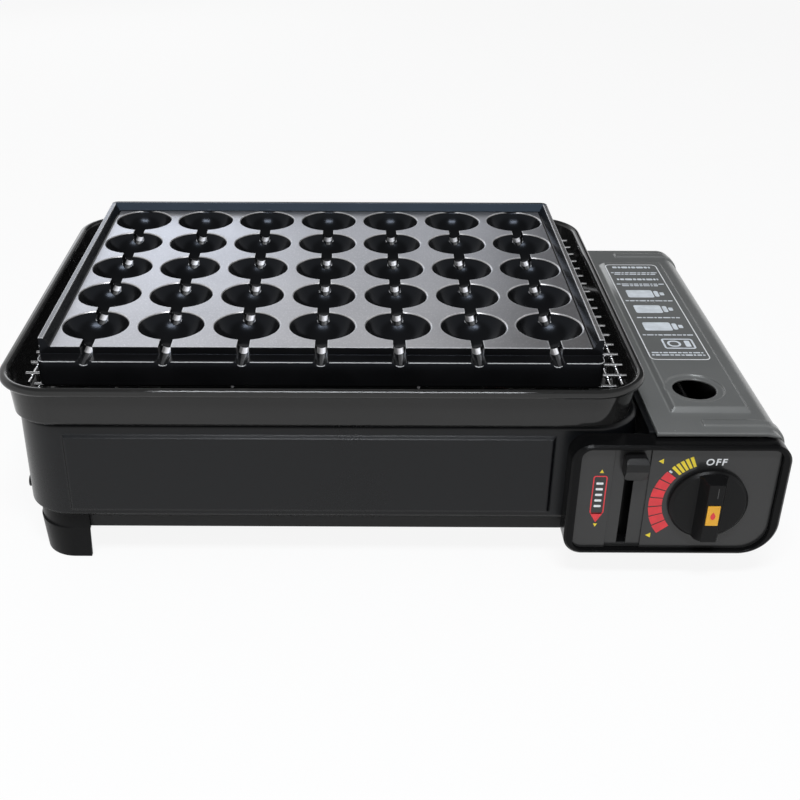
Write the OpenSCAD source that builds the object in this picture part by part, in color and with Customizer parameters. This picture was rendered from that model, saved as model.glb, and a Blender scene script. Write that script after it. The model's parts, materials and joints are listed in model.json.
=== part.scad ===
// Gas griddle for quail eggs: a cast plate of wells on a wire net, in an enamel tray, on a pressed
// steel burner body with a cartridge bay and its controls at the right.
// X runs left to right, Y front to back and Z up. The origin is on the table, under the middle of
// the box round the whole part. Inside the file, places are measured from the middle of the tray.

/* [Griddle plate] */
// Wells from left to right
well_cols = 7; // [5:1:9]
// Wells from front to back
well_rows = 5; // [4:1:6]
// Distance between the centres of two wells
well_pitch = 46; // [44:0.5:50]
// Diameter of a well at the deck
well_d = 40; // [36:0.5:42]
// Depth of a well
well_depth = 14.5; // [12:0.5:17]
// Softened edge of a well
well_lip = 0.6; // [0.3:0.1:0.8]
// Wall of the casting, under the wells and round the skirt
cast_wall = 2.5; // [2:0.25:3.5]
// Thickness of the flat deck
deck_t = 4; // [3:0.25:5]
// Flat land between the outer wells and the side rims
side_land = 2; // [1:0.5:10]
// Flat land behind the back row
back_land = 1; // [1:0.5:10]
// Flat land in front of the front row
front_land = 10; // [6:0.5:20]
// Height of the raised rim at the sides and back
rim_h = 5.5; // [3:0.5:9]
// Thickness of the raised rim at its root
rim_t = 5.5; // [4:0.5:9]
// Thickness of the raised rim at its top
rim_top = 2.7; // [1.5:0.1:3.9]
// Depth of the ledge along the front
ledge_w = 10; // [7:0.5:16]
// Drop from the deck to the ledge
ledge_drop = 5; // [3:0.5:6]
// Width of a skewer groove
groove_w = 7.5; // [5:0.25:9]
// Depth of a skewer groove below the deck
groove_depth = 7.5; // [6.5:0.25:9]
// Corner radius of the casting
plate_r = 4.5; // [4:0.5:16]

/* [Wire net] */
// Diameter of the wires
wire_d = 2.4; // [2:0.1:3]
// Distance between two cross wires
wire_pitch = 14; // [12:0.5:20]
// Distance of the inner support wires from the middle
inner_support = 55; // [40:1:80]
// Distance of the outer support wires in from the net's ends
outer_support = 11.5; // [8:0.5:16]
// Depth that two wires sink into each other at a weld
weld = 0.3; // [0.2:0.05:0.5]
// Net below the top of the tray
net_drop = 6; // [4:0.5:9]
// Room between the net and the tray wall, at the sides
net_gap_x = 6; // [4:0.5:13]
// Room between the net and the tray wall, front and back
net_gap_y = 11; // [8:0.5:14]
// Net to the right of the tray's middle
net_shift = 2.5; // [0:0.25:3]
// Length of a foot of the net
net_foot = 22; // [12:1:40]

/* [Enamel tray] */
// Room between the plate and the tray wall, at the sides
tray_gap_x = 21; // [16:0.5:30]
// Room between the plate and the tray wall, front and back, with the plate in the middle
tray_gap_y = 16; // [13:0.5:30]
// Plate in front of the tray's middle
plate_shift = 4; // [0:0.5:6]
// Height of the tray above its seat
tray_h = 28; // [22:0.5:40]
// Sheet thickness of the tray
tray_t = 1.2; // [0.8:0.1:2]
// Corner radius inside the tray
tray_r = 27; // [26:1:44]
// Diameter of the rolled edge
roll_d = 5.5; // [4:0.5:8]
// Inward lean of the tray's wall towards its floor
tray_lean = 2; // [0.5:0.25:4]
// Slanted edge round the tray's floor
tray_edge = 2.5; // [1.5:0.25:4]
// Width of the floor that sits on the body
tray_floor_w = 18; // [16:0.5:22]
// Depth of the collar that drops into the body
collar_h = 6; // [3:0.5:10]

/* [Body] */
// Height of the feet
foot_h = 23; // [15:0.5:40]
// Bottom pan that shows under the body
pan_show = 10; // [8:0.5:16]
// Height of the body's walls
body_h = 67; // [60:0.5:90]
// Sheet thickness of the pressed steel
sheet_t = 1.2; // [0.8:0.1:1.6]
// Corner radius of the body
body_r = 30; // [26:1:40]
// Body wall inside the tray wall, at the left
body_inset_x = 1.8; // [1:0.1:6]
// Body wall inside the tray wall, front and back
body_inset_y = 4; // [2:0.25:6]
// Body past the tray wall, at the right
body_ext = 5.5; // [4:0.5:20]
// Slanted edge round the body's top
body_edge = 2; // [1:0.25:3]
// Width of the turned-in lower edge
hem_w = 4; // [3:0.5:5]
// Raise of the pressed front panel
panel_raise = 2.5; // [1.5:0.25:4]
// Gap between the front panel's left edge and the body's left wall
panel_left = 29.5; // [27:0.5:60]
// Gap between the front panel's right edge and the bezel
panel_right = 7; // [4:1:60]
// Gap above the front panel
panel_over = 5.5; // [4:0.5:14]
// Gap below the front panel
panel_under = 6; // [5:0.5:14]
// Wall of the pan, in from the body's face
pan_inset = 7; // [6.5:0.5:12]

/* [Feet] */
// Width of a left foot
foot_w = 35; // [30:0.5:40]
// Round outer corner of a left foot
foot_r = 23; // [14:0.5:24]
// Narrowing of a left foot towards the table
foot_draft = 1.7; // [0.5:0.1:3]
// Slant of a left foot's inner side, in degrees
foot_slant = 20; // [0:1:22]
// Left foot inside the body's faces
foot_inset = 4.5; // [4:0.25:4.75]
// Wall of a left foot
foot_wall = 2.2; // [1.5:0.1:2.4]
// Diameter of a right foot
pad_d = 24; // [16:0.5:30]

/* [Cartridge bay] */
// Diameter of the gas cartridge that the bay takes
cartridge_d = 68; // [64:0.5:72]
// Room at each side of the cartridge
bay_clear = 5; // [3:0.5:8]
// Gap between the body and the bay
bay_gap = 2; // [1.5:0.25:4]
// Corner radius along the bay's floor
bay_r = 6; // [4:0.5:8]
// Bay behind the body's back
bay_back = 6; // [2:0.5:8]
// Bay wall below the cover, at the hinge side
hinge_drop = 22; // [20:0.5:26]

/* [Cover] */
// Round shoulder of the cover
cover_r = 14; // [10:0.5:18]
// Raise of the pressed middle
cover_raise = 3; // [1.5:0.25:5]
// Slope of the pressed middle's edges
cover_bevel = 4; // [2:0.5:6]
// Raise of the beads near the cover's ends
bead_raise = 1; // [0.5:0.1:1]
// Width of these beads
bead_w = 6; // [4:0.5:8]
// Diameter of the finger hole
finger_d = 27; // [18:0.5:28]
// Diameter of the hole's pressed ring
finger_ring = 36; // [34:0.5:38]
// Cover past the bay, at the front
cover_front = 6.25; // [4:0.25:9]
// Cover past the bay, at the back
cover_over = 2; // [0.5:0.5:4]
// Diameter of a hinge pin
hinge_pin_d = 3; // [2:0.25:3.5]
// Outer diameter of a hinge knuckle
knuckle_d = 6; // [5.5:0.25:7]
// Length of a knuckle
knuckle_len = 14; // [10:1:24]

/* [Control panel] */
// Width of the bezel
bezel_w = 129; // [127:0.5:132]
// Height of the bezel
bezel_h = 77; // [75:0.5:80]
// Depth of the bezel
bezel_depth = 15; // [14:0.5:24]
// Bezel below the cover's edge
bezel_gap = 1.4; // [1:0.1:3]
// Wall across the bezel's back
bezel_web = 1.5; // [1.2:0.1:2]
// Corner radius of the bezel
bezel_corner = 12; // [11:0.5:14]
// Corner radius of the bezel at the lower right
bezel_r = 22; // [14:0.5:28]
// Width of the bezel's frame at its sides
bezel_side = 5.5; // [4.5:0.25:8]
// Width of the bezel's frame at the top and bottom
bezel_lip = 2.75; // [2.5:0.25:4]
// Depth of the face inside the bezel
face_recess = 3; // [1.5:0.25:4]
// Thickness of the face
face_t = 3; // [2.5:0.25:4]

/* [Knob] */
// Diameter of the knob
knob_d = 47; // [40:0.5:48]
// Height of the knob's round skirt
knob_skirt = 4; // [3:0.5:9]
// Height of the grip above the skirt
grip_h = 8.5; // [7.5:0.5:18]
// Width of the grip at its root
grip_w = 17; // [16.5:0.5:20]
// Draft of the grip's sides
grip_draft = 4; // [2:0.25:4]
// Knob centre in from the bezel's right edge
knob_in = 45; // [42:0.5:50]
// Knob centre below the bezel's middle
knob_drop = 2; // [0:0.5:5]
// Diameter of the valve spindle
spindle_d = 8; // [6:0.25:9]

/* [Lock lever] */
// Width of the lever's head
lever_w = 13.5; // [12:0.5:15]
// Height of the lever's head
lever_h = 15.5; // [14:0.5:20]
// Reach of the head in front of the face
lever_reach = 8; // [6:0.5:14]
// Travel of the lever
lever_travel = 50; // [40:1:50]
// Travel of the pusher
pusher_travel = 5; // [3:0.5:5.5]
// Width of the slit in the face
slit_w = 5.6; // [5:0.2:8]

/* [Burner] */
// Diameter of the burner tubes
burner_d = 20; // [16:0.5:22]
// Wall of the burner tubes
burner_wall = 1.2; // [0.8:0.1:1.6]
// Distance of the burner tubes from the middle
burner_y = 62; // [50:1:75]
// Flame ports in a row
port_count = 16; // [8:1:20]
// Diameter of a flame port
port_d = 2.4; // [1.5:0.1:3]
// Diameter of the manifold
manifold_d = 26; // [25:0.5:30]
// Diameter of the mixing tube
mixer_d = 18; // [15:0.5:20]
// Diameter of the gas pipe
pipe_d = 6; // [5:0.25:7]

/* [Fits] */
// Gap where a loose piece rests on its seat
seat_gap = 0.2; // [0.1:0.05:0.3]
// Gap round a piece that lies in its seat
fit_gap = 0.2; // [0.1:0.05:0.3]
// Gap round a piece that slides or lifts out
slide_gap = 0.6; // [0.4:0.05:1]
// Gap round a pin or a shaft that turns
turn_gap = 0.05; // [0.03:0.01:0.1]

/* [Hidden] */
$fn = 48;
far = 400;
eps = 0.5;
dome_lift = 3.4;

// Plate
well_r = well_d / 2;
bowl_r = (well_r * well_r + well_depth * well_depth) / (2 * well_depth);
bowl_rise = bowl_r - well_depth;
plate_x = rim_t + side_land + well_r + (well_cols - 1) * well_pitch / 2;
plate_y = (ledge_w + front_land + well_d + (well_rows - 1) * well_pitch + back_land + rim_t) / 2;
plate_h = well_depth + cast_wall + dome_lift;
step_y = -plate_y + ledge_w;
first_row_y = step_y + front_land + well_r;
last_row_y = first_row_y + (well_rows - 1) * well_pitch;
col_x = [for (i = [0 : well_cols - 1]) (i - (well_cols - 1) / 2) * well_pitch];
row_y = [for (i = [0 : well_rows - 1]) first_row_y + i * well_pitch];

// Heights
shell_z = foot_h + pan_show;
body_z = shell_z + body_h;
tray_z = body_z + seat_gap;
tray_top = tray_z + tray_h;
net_z = tray_top - net_drop;
cross_z = net_z - wire_d / 2;
support_z = cross_z - wire_d + weld;
plate_z = net_z + seat_gap;
deck_z = plate_z + plate_h;
ledge_z = deck_z - ledge_drop;

// Tray and net
tray_x = plate_x + tray_gap_x;
tray_y = plate_y + tray_gap_y;
collar_in = tray_lean + tray_floor_w;
net_x = tray_x - net_gap_x;
net_y = tray_y - net_gap_y;
net_r = 22;
cross_count = floor(2 * (net_y - wire_d) / wire_pitch) + 1;
net_foot_x = net_x - outer_support / 3;
net_foot_y = net_y * 0.7;

// Body
body_x0 = -(tray_x - body_inset_x);
body_x1 = tray_x + body_ext;
body_y = tray_y - body_inset_y;
hem_z = shell_z + hem_w;
seat_x = tray_x - collar_in + slide_gap;
seat_y = tray_y - collar_in + slide_gap;
seat_r = tray_r - collar_in + slide_gap;
pan_x0 = body_x0 + pan_inset;
pan_x1 = body_x1 - pan_inset;
pan_y = body_y - pan_inset;
pan_r = body_r - pan_inset;
pan_h = 22;
floor_z = foot_h + sheet_t;

// Bay and cover
bay_x0 = body_x1 + bay_gap;
bay_in_x0 = bay_x0 + sheet_t;
bay_in_x1 = bay_in_x0 + cartridge_d + 2 * bay_clear;
bay_x1 = bay_in_x1 + sheet_t;
bay_y0 = -body_y;
bay_y1 = body_y + bay_back;
bay_in_y0 = bay_y0 + sheet_t;
bay_in_y1 = bay_y1 - sheet_t;
cover_edge = 1.4;
bay_top = body_z - 2 * sheet_t - cover_edge - seat_gap;
can_x = (bay_in_x0 + bay_in_x1) / 2;
can_z = foot_h + sheet_t + cartridge_d / 2 + 2;
hinge_wall_z = body_z - hinge_drop;
cover_x0 = bay_x0 + 3;
cover_x1 = bay_x1 + 0.6;
cover_y0 = bay_y0 - cover_front;
cover_y1 = bay_y1 + cover_over;
flat_x0 = cover_x0 + 12;
flat_x1 = cover_x1 - cover_r - 1;
flat_y0 = bay_y0 + 16.25;
flat_y1 = bay_y1 - 27;
bead_x0 = cover_x0 + 29;
bead_ys = [bay_y0 + 1.75, bay_y1 - 6 - bead_w];
finger_x = cover_x0 + 34;
finger_y = flat_y0 + 28;
hinge_x = cover_x1 - knuckle_d / 2 - 0.3;
hinge_z = hinge_wall_z + knuckle_d;
hinge_ys = [bay_y0 + 50, bay_y1 - 50];

// Control panel
bezel_x1 = bay_x1 + 1.6;
bezel_x0 = bezel_x1 - bezel_w;
bezel_back = bay_y0 - 0.3;
bezel_front = bezel_back - bezel_depth;
bezel_top = body_z - sheet_t - cover_edge - bezel_gap;
bezel_z = bezel_top - bezel_h;
face_y = bezel_front + face_recess;
face_back = face_y + face_t;
knob_x = bezel_x1 - knob_in;
knob_z = bezel_z + bezel_h / 2 - knob_drop;
knob_y0 = face_y - slide_gap;
knob_y1 = knob_y0 - knob_skirt - grip_h;
panel_x0 = body_x0 + panel_left;
panel_x1 = bezel_x0 - panel_right;

// Lever and pusher
slit_x0 = bezel_x0 + 33;
stem_w = slit_w - 2 * slide_gap;
stem_x0 = slit_x0 + slide_gap;
lever_x0 = slit_x0 - 2;
lever_top = bezel_top - 7;
lever_mid = lever_top - lever_h / 2;
stem_h = 12;
carriage_t = 2;
carriage_side = 3;
cam_side = 4;
cam_end = 6;
cam_edge = 8;
pusher_t = 1.5;
pusher_x0 = bay_in_x0 + 0.8;
arm_x0 = pusher_x0 + pusher_t + 0.8;
arm_t = 2;
arm_h = 10;
cam_pin_d = 4;
cam_y = bay_in_y0 + 12;
pusher_y0 = bay_in_y0 + pusher_travel + 0.8;
yoke_y = bay_in_y0 + 74;

// Burner
gas_y = bay_in_y0 + 34;
gas_rise = 6.5;
gas_z = knob_z + gas_rise;
manifold_x = body_x1 - 60;
manifold_wall = 1.5;
burner_x0 = body_x0 + 32;
bracket_t = 1.5;
bracket_xs = [burner_x0 + 12, manifold_x - manifold_d / 2 - 14];
bracket_y = burner_y + 22;
reg_len = 42;
reg_d = 44;

// Small fittings
screw_d = 3.6;
screw_head = 8;
screw_len = 9;
post_d = 9;
bezel_chamfer = 1.5;
shoulder_w = 2;
bezel_screw_xs = [can_x - 20, can_x + 20];
bezel_screw_zs = [floor_z + 8, bay_top - 9];
side_screw_y = body_y - body_r - 2;
side_screw_z = hem_z + 3.6;
side_head = 7.5;
side_head_t = 2.5;
side_boss = 6;
foot_screw_x = body_x0 + foot_inset + foot_w * 0.55;
foot_screw_y = body_y - foot_inset - foot_w * 0.55;
boss_d = 16;
neck_d = 22;
neck_len = 12;
nozzle_d = 10;
nozzle_len = 8;
outlet_len = 5;
spindle_in = 22;
seal_d = 16;
seal_t = 3;
jet_len = 7;
jet_tip = 8;
jet_hex = pipe_d + 8;
jet_bore = 1.5;
jet_x1 = body_x1 - sheet_t - fit_gap;
port_end = 12;
bell_len = 8;
bell_flare = 3;
window_w = 7;
window_back = 5;
window_h = 8;
manifold_end = 16;
bracket_foot = 12;
bracket_tie = 12;
shield_gap = 5;
shield_start = 20;
shield_spot = 26;
neck_clear = 9;
yoke_side = 4;
yoke_top = 10;
yoke_end = 5;
pusher_arm = 18;
guide_t = 1.5;
guide_y = bay_in_y0 + reg_len + fit_gap;
guide_r = 26;
tab_w = 8;
tab_h = 5;
insert_w = 7.8;
insert_h = 14;
insert_sink = 1.2;
insert_proud = 0.3;
insert_y = -8;
socket_depth = 8;
knob_edge = 2;
grip_end = 2.5;
head_r = 3;
head_slope = 4;
track_depth = 1.2;
track_left = 7.5;
track_right = 14;
track_end = 4;
rest_w = 5;
knuckle_gap = 0.4;
ear_len = 8;
flange_z = hinge_z + knuckle_d / 2 + 1;
ring_drop = 1;
vent_count = 5;
vent_pitch = 30;
vent_len = 30;
vent_w = 5;
pad_x = bay_x1 - pad_d / 2 - 7;
pad_ys = [bay_y0 + pad_d / 2 + 26, bay_y1 - pad_d / 2 - 6];
igniter_d = 13;
igniter_x = knob_x + reg_d / 2 + igniter_d / 2 + 3;
igniter_z = knob_z;
igniter_back = bay_in_y0 + 34;
electrode_d = 6.4;
electrode_z = 44;

// Route of the igniter lead, from the igniter to the electrode
lead_d = 3;
lead_y = -88;
lead_z = 49.5;
lead_route = [
    [262.5, -102, 55.5], [262.5, -98, 55.5], [262, -93, 54.5], [260, -89.5, 52], [255, -88, 48],
    [246, -88, 45], [234, -88, 43.5], [222, -88, 44.5], [212, -88, 47], [204, -88, 49], [197, -88, 49.5],
    [190, -88, 49.5], [182, -88, 49], [172, -88, 45], [160, -88, 40], [146, -87, 37], [132, -85, 35.5],
    [121, -81.5, 35], [114, -79.5, 36], [111, -79, 39], [110, -79, 44]
];

// Middle of the box round the whole part
origin_x = (bezel_x1 - tray_x - roll_d) / 2;
origin_y = (knob_y1 + tray_y + roll_d) / 2;

// Moves a piece from the tray's middle to the part's own origin
module placed() {
    translate([-origin_x, -origin_y, 0]) children();
}

// Rectangle with round corners
module rounded(x0, x1, y0, y1, r) {
    translate([x0 + r, y0]) square([x1 - x0 - 2 * r, y1 - y0]);
    translate([x0, y0 + r]) square([x1 - x0, y1 - y0 - 2 * r]);
    for (x = [x0 + r, x1 - r], y = [y0 + r, y1 - r]) {
        translate([x, y]) circle(r);
    }
}

// Upright block with round corners
module slab(x0, x1, y0, y1, r, z0, z1) {
    translate([0, 0, z0]) linear_extrude(z1 - z0) rounded(x0, x1, y0, y1, r);
}

// Plain block between two corners
module block(x0, x1, y0, y1, z0, z1) {
    translate([x0, y0, z0]) cube([x1 - x0, y1 - y0, z1 - z0]);
}

// Outline in X and Z, drawn along Y
module along_y(y0, y1) {
    translate([0, y1, 0]) rotate([90, 0, 0]) linear_extrude(y1 - y0) children();
}

// Outline in Y and Z, drawn along X
module along_x(x0, x1) {
    translate([x0, 0, 0]) rotate([90, 0, 90]) linear_extrude(x1 - x0) children();
}

// Round bars along each axis
module rod_x(x0, x1, y, z, d) {
    translate([x0, y, z]) rotate([0, 90, 0]) cylinder(h = x1 - x0, d = d);
}

module rod_y(y0, y1, x, z, d) {
    translate([x, y1, z]) rotate([90, 0, 0]) cylinder(h = y1 - y0, d = d);
}

module rod_z(z0, z1, x, y, d) {
    translate([x, y, z0]) cylinder(h = z1 - z0, d = d);
}

// Block whose four sides lean in towards the top
module frustum(x0, x1, y0, y1, z0, z1, lean) {
    intersection() {
        along_y(y0, y1) polygon([[x0, z0], [x1, z0], [x1 - lean, z1], [x0 + lean, z1]]);
        along_x(x0, x1) polygon([[y0, z0], [y1, z0], [y1 - lean, z1], [y0 + lean, z1]]);
    }
}

// The same on an upright face that looks to the front
module front_frustum(x0, x1, z0, z1, y, raise, lean) {
    translate([0, y, 0]) rotate([90, 0, 0]) frustum(x0, x1, z0, z1, 0, raise, lean);
}

// Wall section carried round a rectangle with round corners. The section's first axis points outwards.
// The last corner, at the end of X and the start of Y, may be rounder than the others
module wall_ring(x0, x1, y0, y1, r, near_r = 0) {
    last = max(r, near_r);
    radii = [r, r, r, last];
    corners = [[x1 - r, y1 - r], [x0 + r, y1 - r], [x0 + r, y0 + r], [x1 - last, y0 + last]];
    starts = [[x1, y1 - r], [x0 + r, y1], [x0, y0 + r], [x1 - last, y0]];
    lengths = [y1 - y0 - r - last, x1 - x0 - 2 * r, y1 - y0 - 2 * r, x1 - x0 - r - last];
    for (i = [0 : 3]) {
        translate(corners[i]) rotate(90 * i) rotate_extrude(angle = 90) translate([radii[i], 0]) children();
        translate(starts[i]) rotate(90 * i) rotate([90, 0, 0]) linear_extrude(lengths[i]) children();
    }
}

// Part of a ball below a level, with its middle at the origin
module ball_below(r, level) {
    rotate_extrude() intersection() {
        circle(r);
        translate([0, -far]) square([far, far + level]);
    }
}

// Room of one well, with its softened edge
module well_room() {
    translate([0, 0, bowl_rise]) ball_below(bowl_r, 1 - bowl_rise);
    rotate_extrude() polygon([
        [0, 1], [well_r + well_lip + 1, 1], [well_r - well_lip, -2 * well_lip], [0, -2 * well_lip]
    ]);
}

// Room over the deck, inside the leaning faces of the rim
module deck_room() {
    lean = 2 * (rim_t - rim_top);
    x = plate_x - rim_t + lean;
    y = plate_y - rim_t + lean;
    mirror([0, 0, 1]) frustum(-x, x, -far, y, -deck_z - 2 * rim_h, -deck_z, lean);
}

// Cast plate: deck with wells, skewer grooves out to the front, and a rim on three sides
module griddle_plate() {
    in_x = plate_x - cast_wall;
    in_y = plate_y - cast_wall;
    in_r = plate_r - cast_wall;
    rib_w = groove_w + 2 * cast_wall;
    groove_z = deck_z - groove_depth + groove_w / 2;
    color("dimgray") placed() translate([0, -plate_shift, 0]) difference() {
        union() {
            difference() {
                slab(-plate_x, plate_x, -plate_y, plate_y, plate_r, plate_z, deck_z + rim_h);
                slab(-in_x, in_x, -in_y, in_y, in_r, plate_z - 1, ledge_z - deck_t);
                slab(-in_x, in_x, step_y + cast_wall, in_y, in_r, plate_z - 1, deck_z - deck_t);
                deck_room();
                block(-far, far, -far, step_y, ledge_z, far);
            }
            for (x = col_x) {
                rib_z0 = deck_z - groove_depth - cast_wall;
                block(x - rib_w / 2, x + rib_w / 2, -in_y - eps, step_y + cast_wall, rib_z0, ledge_z - eps);
                block(x - rib_w / 2, x + rib_w / 2, step_y, last_row_y, rib_z0, deck_z - eps);
                for (y = row_y) {
                    translate([x, y, deck_z + bowl_rise])
                        ball_below(bowl_r + cast_wall, -bowl_rise - deck_t / 2);
                }
            }
        }
        for (x = col_x) {
            rod_y(-plate_y - 1, last_row_y, x, groove_z, groove_w);
            block(x - groove_w / 2, x + groove_w / 2, -plate_y - 1, last_row_y, groove_z, deck_z + 1);
            for (y = row_y) {
                translate([x, y, deck_z]) well_room();
            }
        }
    }
}

// End of a wire that runs at some distance from the middle, inside the net's round corners
function wire_end(at, half, other) =
    at <= other - net_r ? half : half - net_r + sqrt(net_r * net_r - pow(at - other + net_r, 2));

// Welded net: cross wires on top of the support wires
module wire_net() {
    supports = [inner_support, net_x - outer_support, net_x - outer_support / 3];
    color("silver") placed() translate([net_shift, 0, 0]) union() {
        for (i = [0 : cross_count - 1]) {
            y = (i - (cross_count - 1) / 2) * wire_pitch;
            end = wire_end(abs(y), net_x, net_y);
            rod_x(-end, end, y, cross_z, wire_d, $fn = 12);
        }
        for (x = supports, side = [-1, 1]) {
            end = wire_end(x, net_y, net_x);
            rod_y(-end, end, side * x, support_z, wire_d, $fn = 12);
        }
    }
}

// Wire feet under the outer support wires, on the tray's floor
module net_feet() {
    bottom = tray_z + tray_t + seat_gap;
    leg = (net_foot - wire_d) / 2;
    xs = [net_shift - net_foot_x, net_shift + net_foot_x];
    color("silver") placed() for (x = xs, y = [-net_foot_y, net_foot_y]) {
        rod_y(y - net_foot / 2, y + net_foot / 2, x, bottom + wire_d / 2, wire_d, $fn = 12);
        for (end = [-leg, leg]) {
            translate([x, y + end, 0]) rotate(15)
                rod_z(bottom + wire_d / 2, support_z - wire_d / 2, 0, 0, wire_d, $fn = 12);
        }
    }
}

// Deep enamel tray: rolled edge, leaning wall, floor ring and locating collar
module enamel_tray() {
    bend = tray_t * tan(22.5);
    roll_z = tray_top - roll_d / 2;
    low = tray_t - tray_lean;
    color("black") placed() wall_ring(-tray_x, tray_x, -tray_y, tray_y, tray_r) union() {
        translate([roll_d / 2, roll_z]) circle(d = roll_d);
        polygon([
            [0, roll_z], [-tray_lean, tray_z + tray_edge + bend], [low - tray_edge - bend, tray_z + tray_t],
            [-collar_in - tray_t, tray_z + tray_t], [-collar_in - tray_t, tray_z - collar_h],
            [-collar_in, tray_z - collar_h], [-collar_in, tray_z], [low - tray_edge, tray_z],
            [low, tray_z + tray_edge], [tray_t, roll_z]
        ]);
    }
}

// Pressed burner body: walls with a turned-in lower edge, a top flange for the tray, a raised front panel
module body_shell() {
    bend = sheet_t * tan(22.5);
    skew = sheet_t * sqrt(0.5);
    panel_z0 = shell_z + panel_under;
    panel_z1 = body_z - panel_over;
    color("black") placed() difference() {
        union() {
            wall_ring(body_x0, body_x1, -body_y, body_y, body_r) polygon([
                [-hem_w, shell_z], [0, hem_z], [0, body_z - body_edge], [-body_edge, body_z],
                [-body_edge - sheet_t, body_z], [-body_edge - bend, body_z - sheet_t],
                [-sheet_t, body_z - body_edge - bend], [-sheet_t, hem_z + bend],
                [-hem_w - skew, shell_z + skew]
            ]);
            difference() {
                slab(body_x0 + body_edge, body_x1 - body_edge, -body_y + body_edge, body_y - body_edge,
                    body_r - body_edge, body_z - sheet_t, body_z);
                slab(-seat_x, seat_x, -seat_y, seat_y, seat_r, 0, far);
            }
            front_frustum(panel_x0, panel_x1, panel_z0, panel_z1, -body_y + sheet_t, panel_raise + sheet_t,
                panel_raise);
        }
        front_frustum(panel_x0 + sheet_t, panel_x1 - sheet_t, panel_z0 + sheet_t, panel_z1 - sheet_t,
            -body_y + sheet_t + 0.01, panel_raise, panel_raise);
        rod_x(body_x1 - 10, body_x1 + 1, gas_y, gas_z, pipe_d + 2 * fit_gap);
        rod_x(body_x1 - 10, body_x1 + 1, lead_y, lead_z, lead_d + 2 * slide_gap);
        for (y = [-side_screw_y, side_screw_y]) {
            rod_x(body_x0 - 1, body_x0 + sheet_t + 1, y, side_screw_z, screw_d + 2 * fit_gap);
        }
    }
}

// Bottom pan with a flange that meets the inside of the body
module bottom_pan() {
    out = pan_inset - sheet_t - fit_gap;
    top = foot_h + pan_h;
    color("dimgray") placed() union() {
        wall_ring(pan_x0, pan_x1, -pan_y, pan_y, pan_r) polygon([
            [0, foot_h], [0, top - sheet_t], [out, top - sheet_t], [out, top], [-sheet_t, top],
            [-sheet_t, foot_h]
        ]);
        slab(pan_x0 + eps, pan_x1 - eps, -pan_y + eps, pan_y - eps, pan_r - eps, foot_h, floor_z);
    }
}

// Square block that narrows towards the table, with its outer corner round
module foot_form(x0, y0, w, r) {
    difference() {
        intersection() {
            along_y(y0, y0 + w)
                polygon([[x0 + foot_draft, 0], [x0 + w - foot_draft, 0], [x0 + w, foot_h], [x0, foot_h]]);
            along_x(x0, x0 + w)
                polygon([[y0 + foot_draft, 0], [y0 + w - foot_draft, 0], [y0 + w, foot_h], [y0, foot_h]]);
        }
        difference() {
            block(x0 - 1, x0 + r, y0 - 1, y0 + r, -1, foot_h + 1);
            translate([x0 + r, y0 + r, 0]) cylinder(h = foot_h, r1 = r - foot_draft, r2 = r);
        }
        translate([x0 + w, y0, -1]) rotate(foot_slant) cube([w, 2 * w, foot_h + 2]);
    }
}

// Moulded left foot: hollow block under the pan, with a skirt and a screw boss inside the body's corner
module left_foot(front) {
    x0 = body_x0 + foot_inset;
    y0 = -body_y + foot_inset;
    boss_x = body_x0 + sheet_t + fit_gap;
    skirt_z = foot_h + pan_h - sheet_t - fit_gap;
    color("black") placed() mirror([0, front ? 0 : 1, 0]) difference() {
        union() {
            difference() {
                foot_form(x0, y0, foot_w, foot_r);
                translate([0, 0, -foot_wall])
                    foot_form(x0 + foot_wall, y0 + foot_wall, foot_w - 2 * foot_wall, foot_r - foot_wall);
            }
            intersection() {
                difference() {
                    slab(x0, x0 + 2 * body_r, y0, y0 + 2 * body_r, body_r - foot_inset, foot_h - eps,
                        skirt_z);
                    slab(pan_x0 - fit_gap, far, -pan_y - fit_gap, far, pan_r + fit_gap, 0, far);
                }
                block(x0 - 1, x0 + foot_w, y0 - 1, y0 + foot_w, 0, far);
            }
            rod_x(boss_x, x0 + eps, -side_screw_y, side_screw_z, side_boss);
            rod_z(foot_wall, foot_h, foot_screw_x, -foot_screw_y, post_d);
        }
        rod_x(boss_x - 1, pan_x0, -side_screw_y, side_screw_z, screw_d + 2 * turn_gap);
        rod_z(-1, foot_h + 1, foot_screw_x, -foot_screw_y, screw_d + 2 * fit_gap);
    }
}

module front_left_foot() {
    left_foot(true);
}

module rear_left_foot() {
    left_foot(false);
}

// Two rubber feet under the bay
module right_feet() {
    color("black") placed() for (y = pad_ys) {
        translate([pad_x, y, 0]) rotate_extrude() difference() {
            polygon([[0, 0], [pad_d / 2 - 2, 0], [pad_d / 2, foot_h], [0, foot_h]]);
            square([screw_head / 2, foot_h / 2]);
            square([screw_d / 2 + fit_gap, foot_h + 1]);
        }
    }
}

// Way of the lever's arm through an upright wall
module arm_slot(y0, y1) {
    block(arm_x0 - slide_gap, arm_x0 + arm_t + slide_gap, y0, y1,
        lever_mid - lever_travel - arm_h / 2 - slide_gap, lever_mid + arm_h / 2 + slide_gap);
}

// Outline of the bay's walls, in X and Z
module bay_outline(inset) {
    intersection() {
        rounded(bay_x0 + inset, bay_x1 - inset, foot_h + inset, body_z + far, bay_r - inset);
        translate([bay_x0, foot_h]) square([far, bay_top - foot_h]);
    }
}

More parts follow.
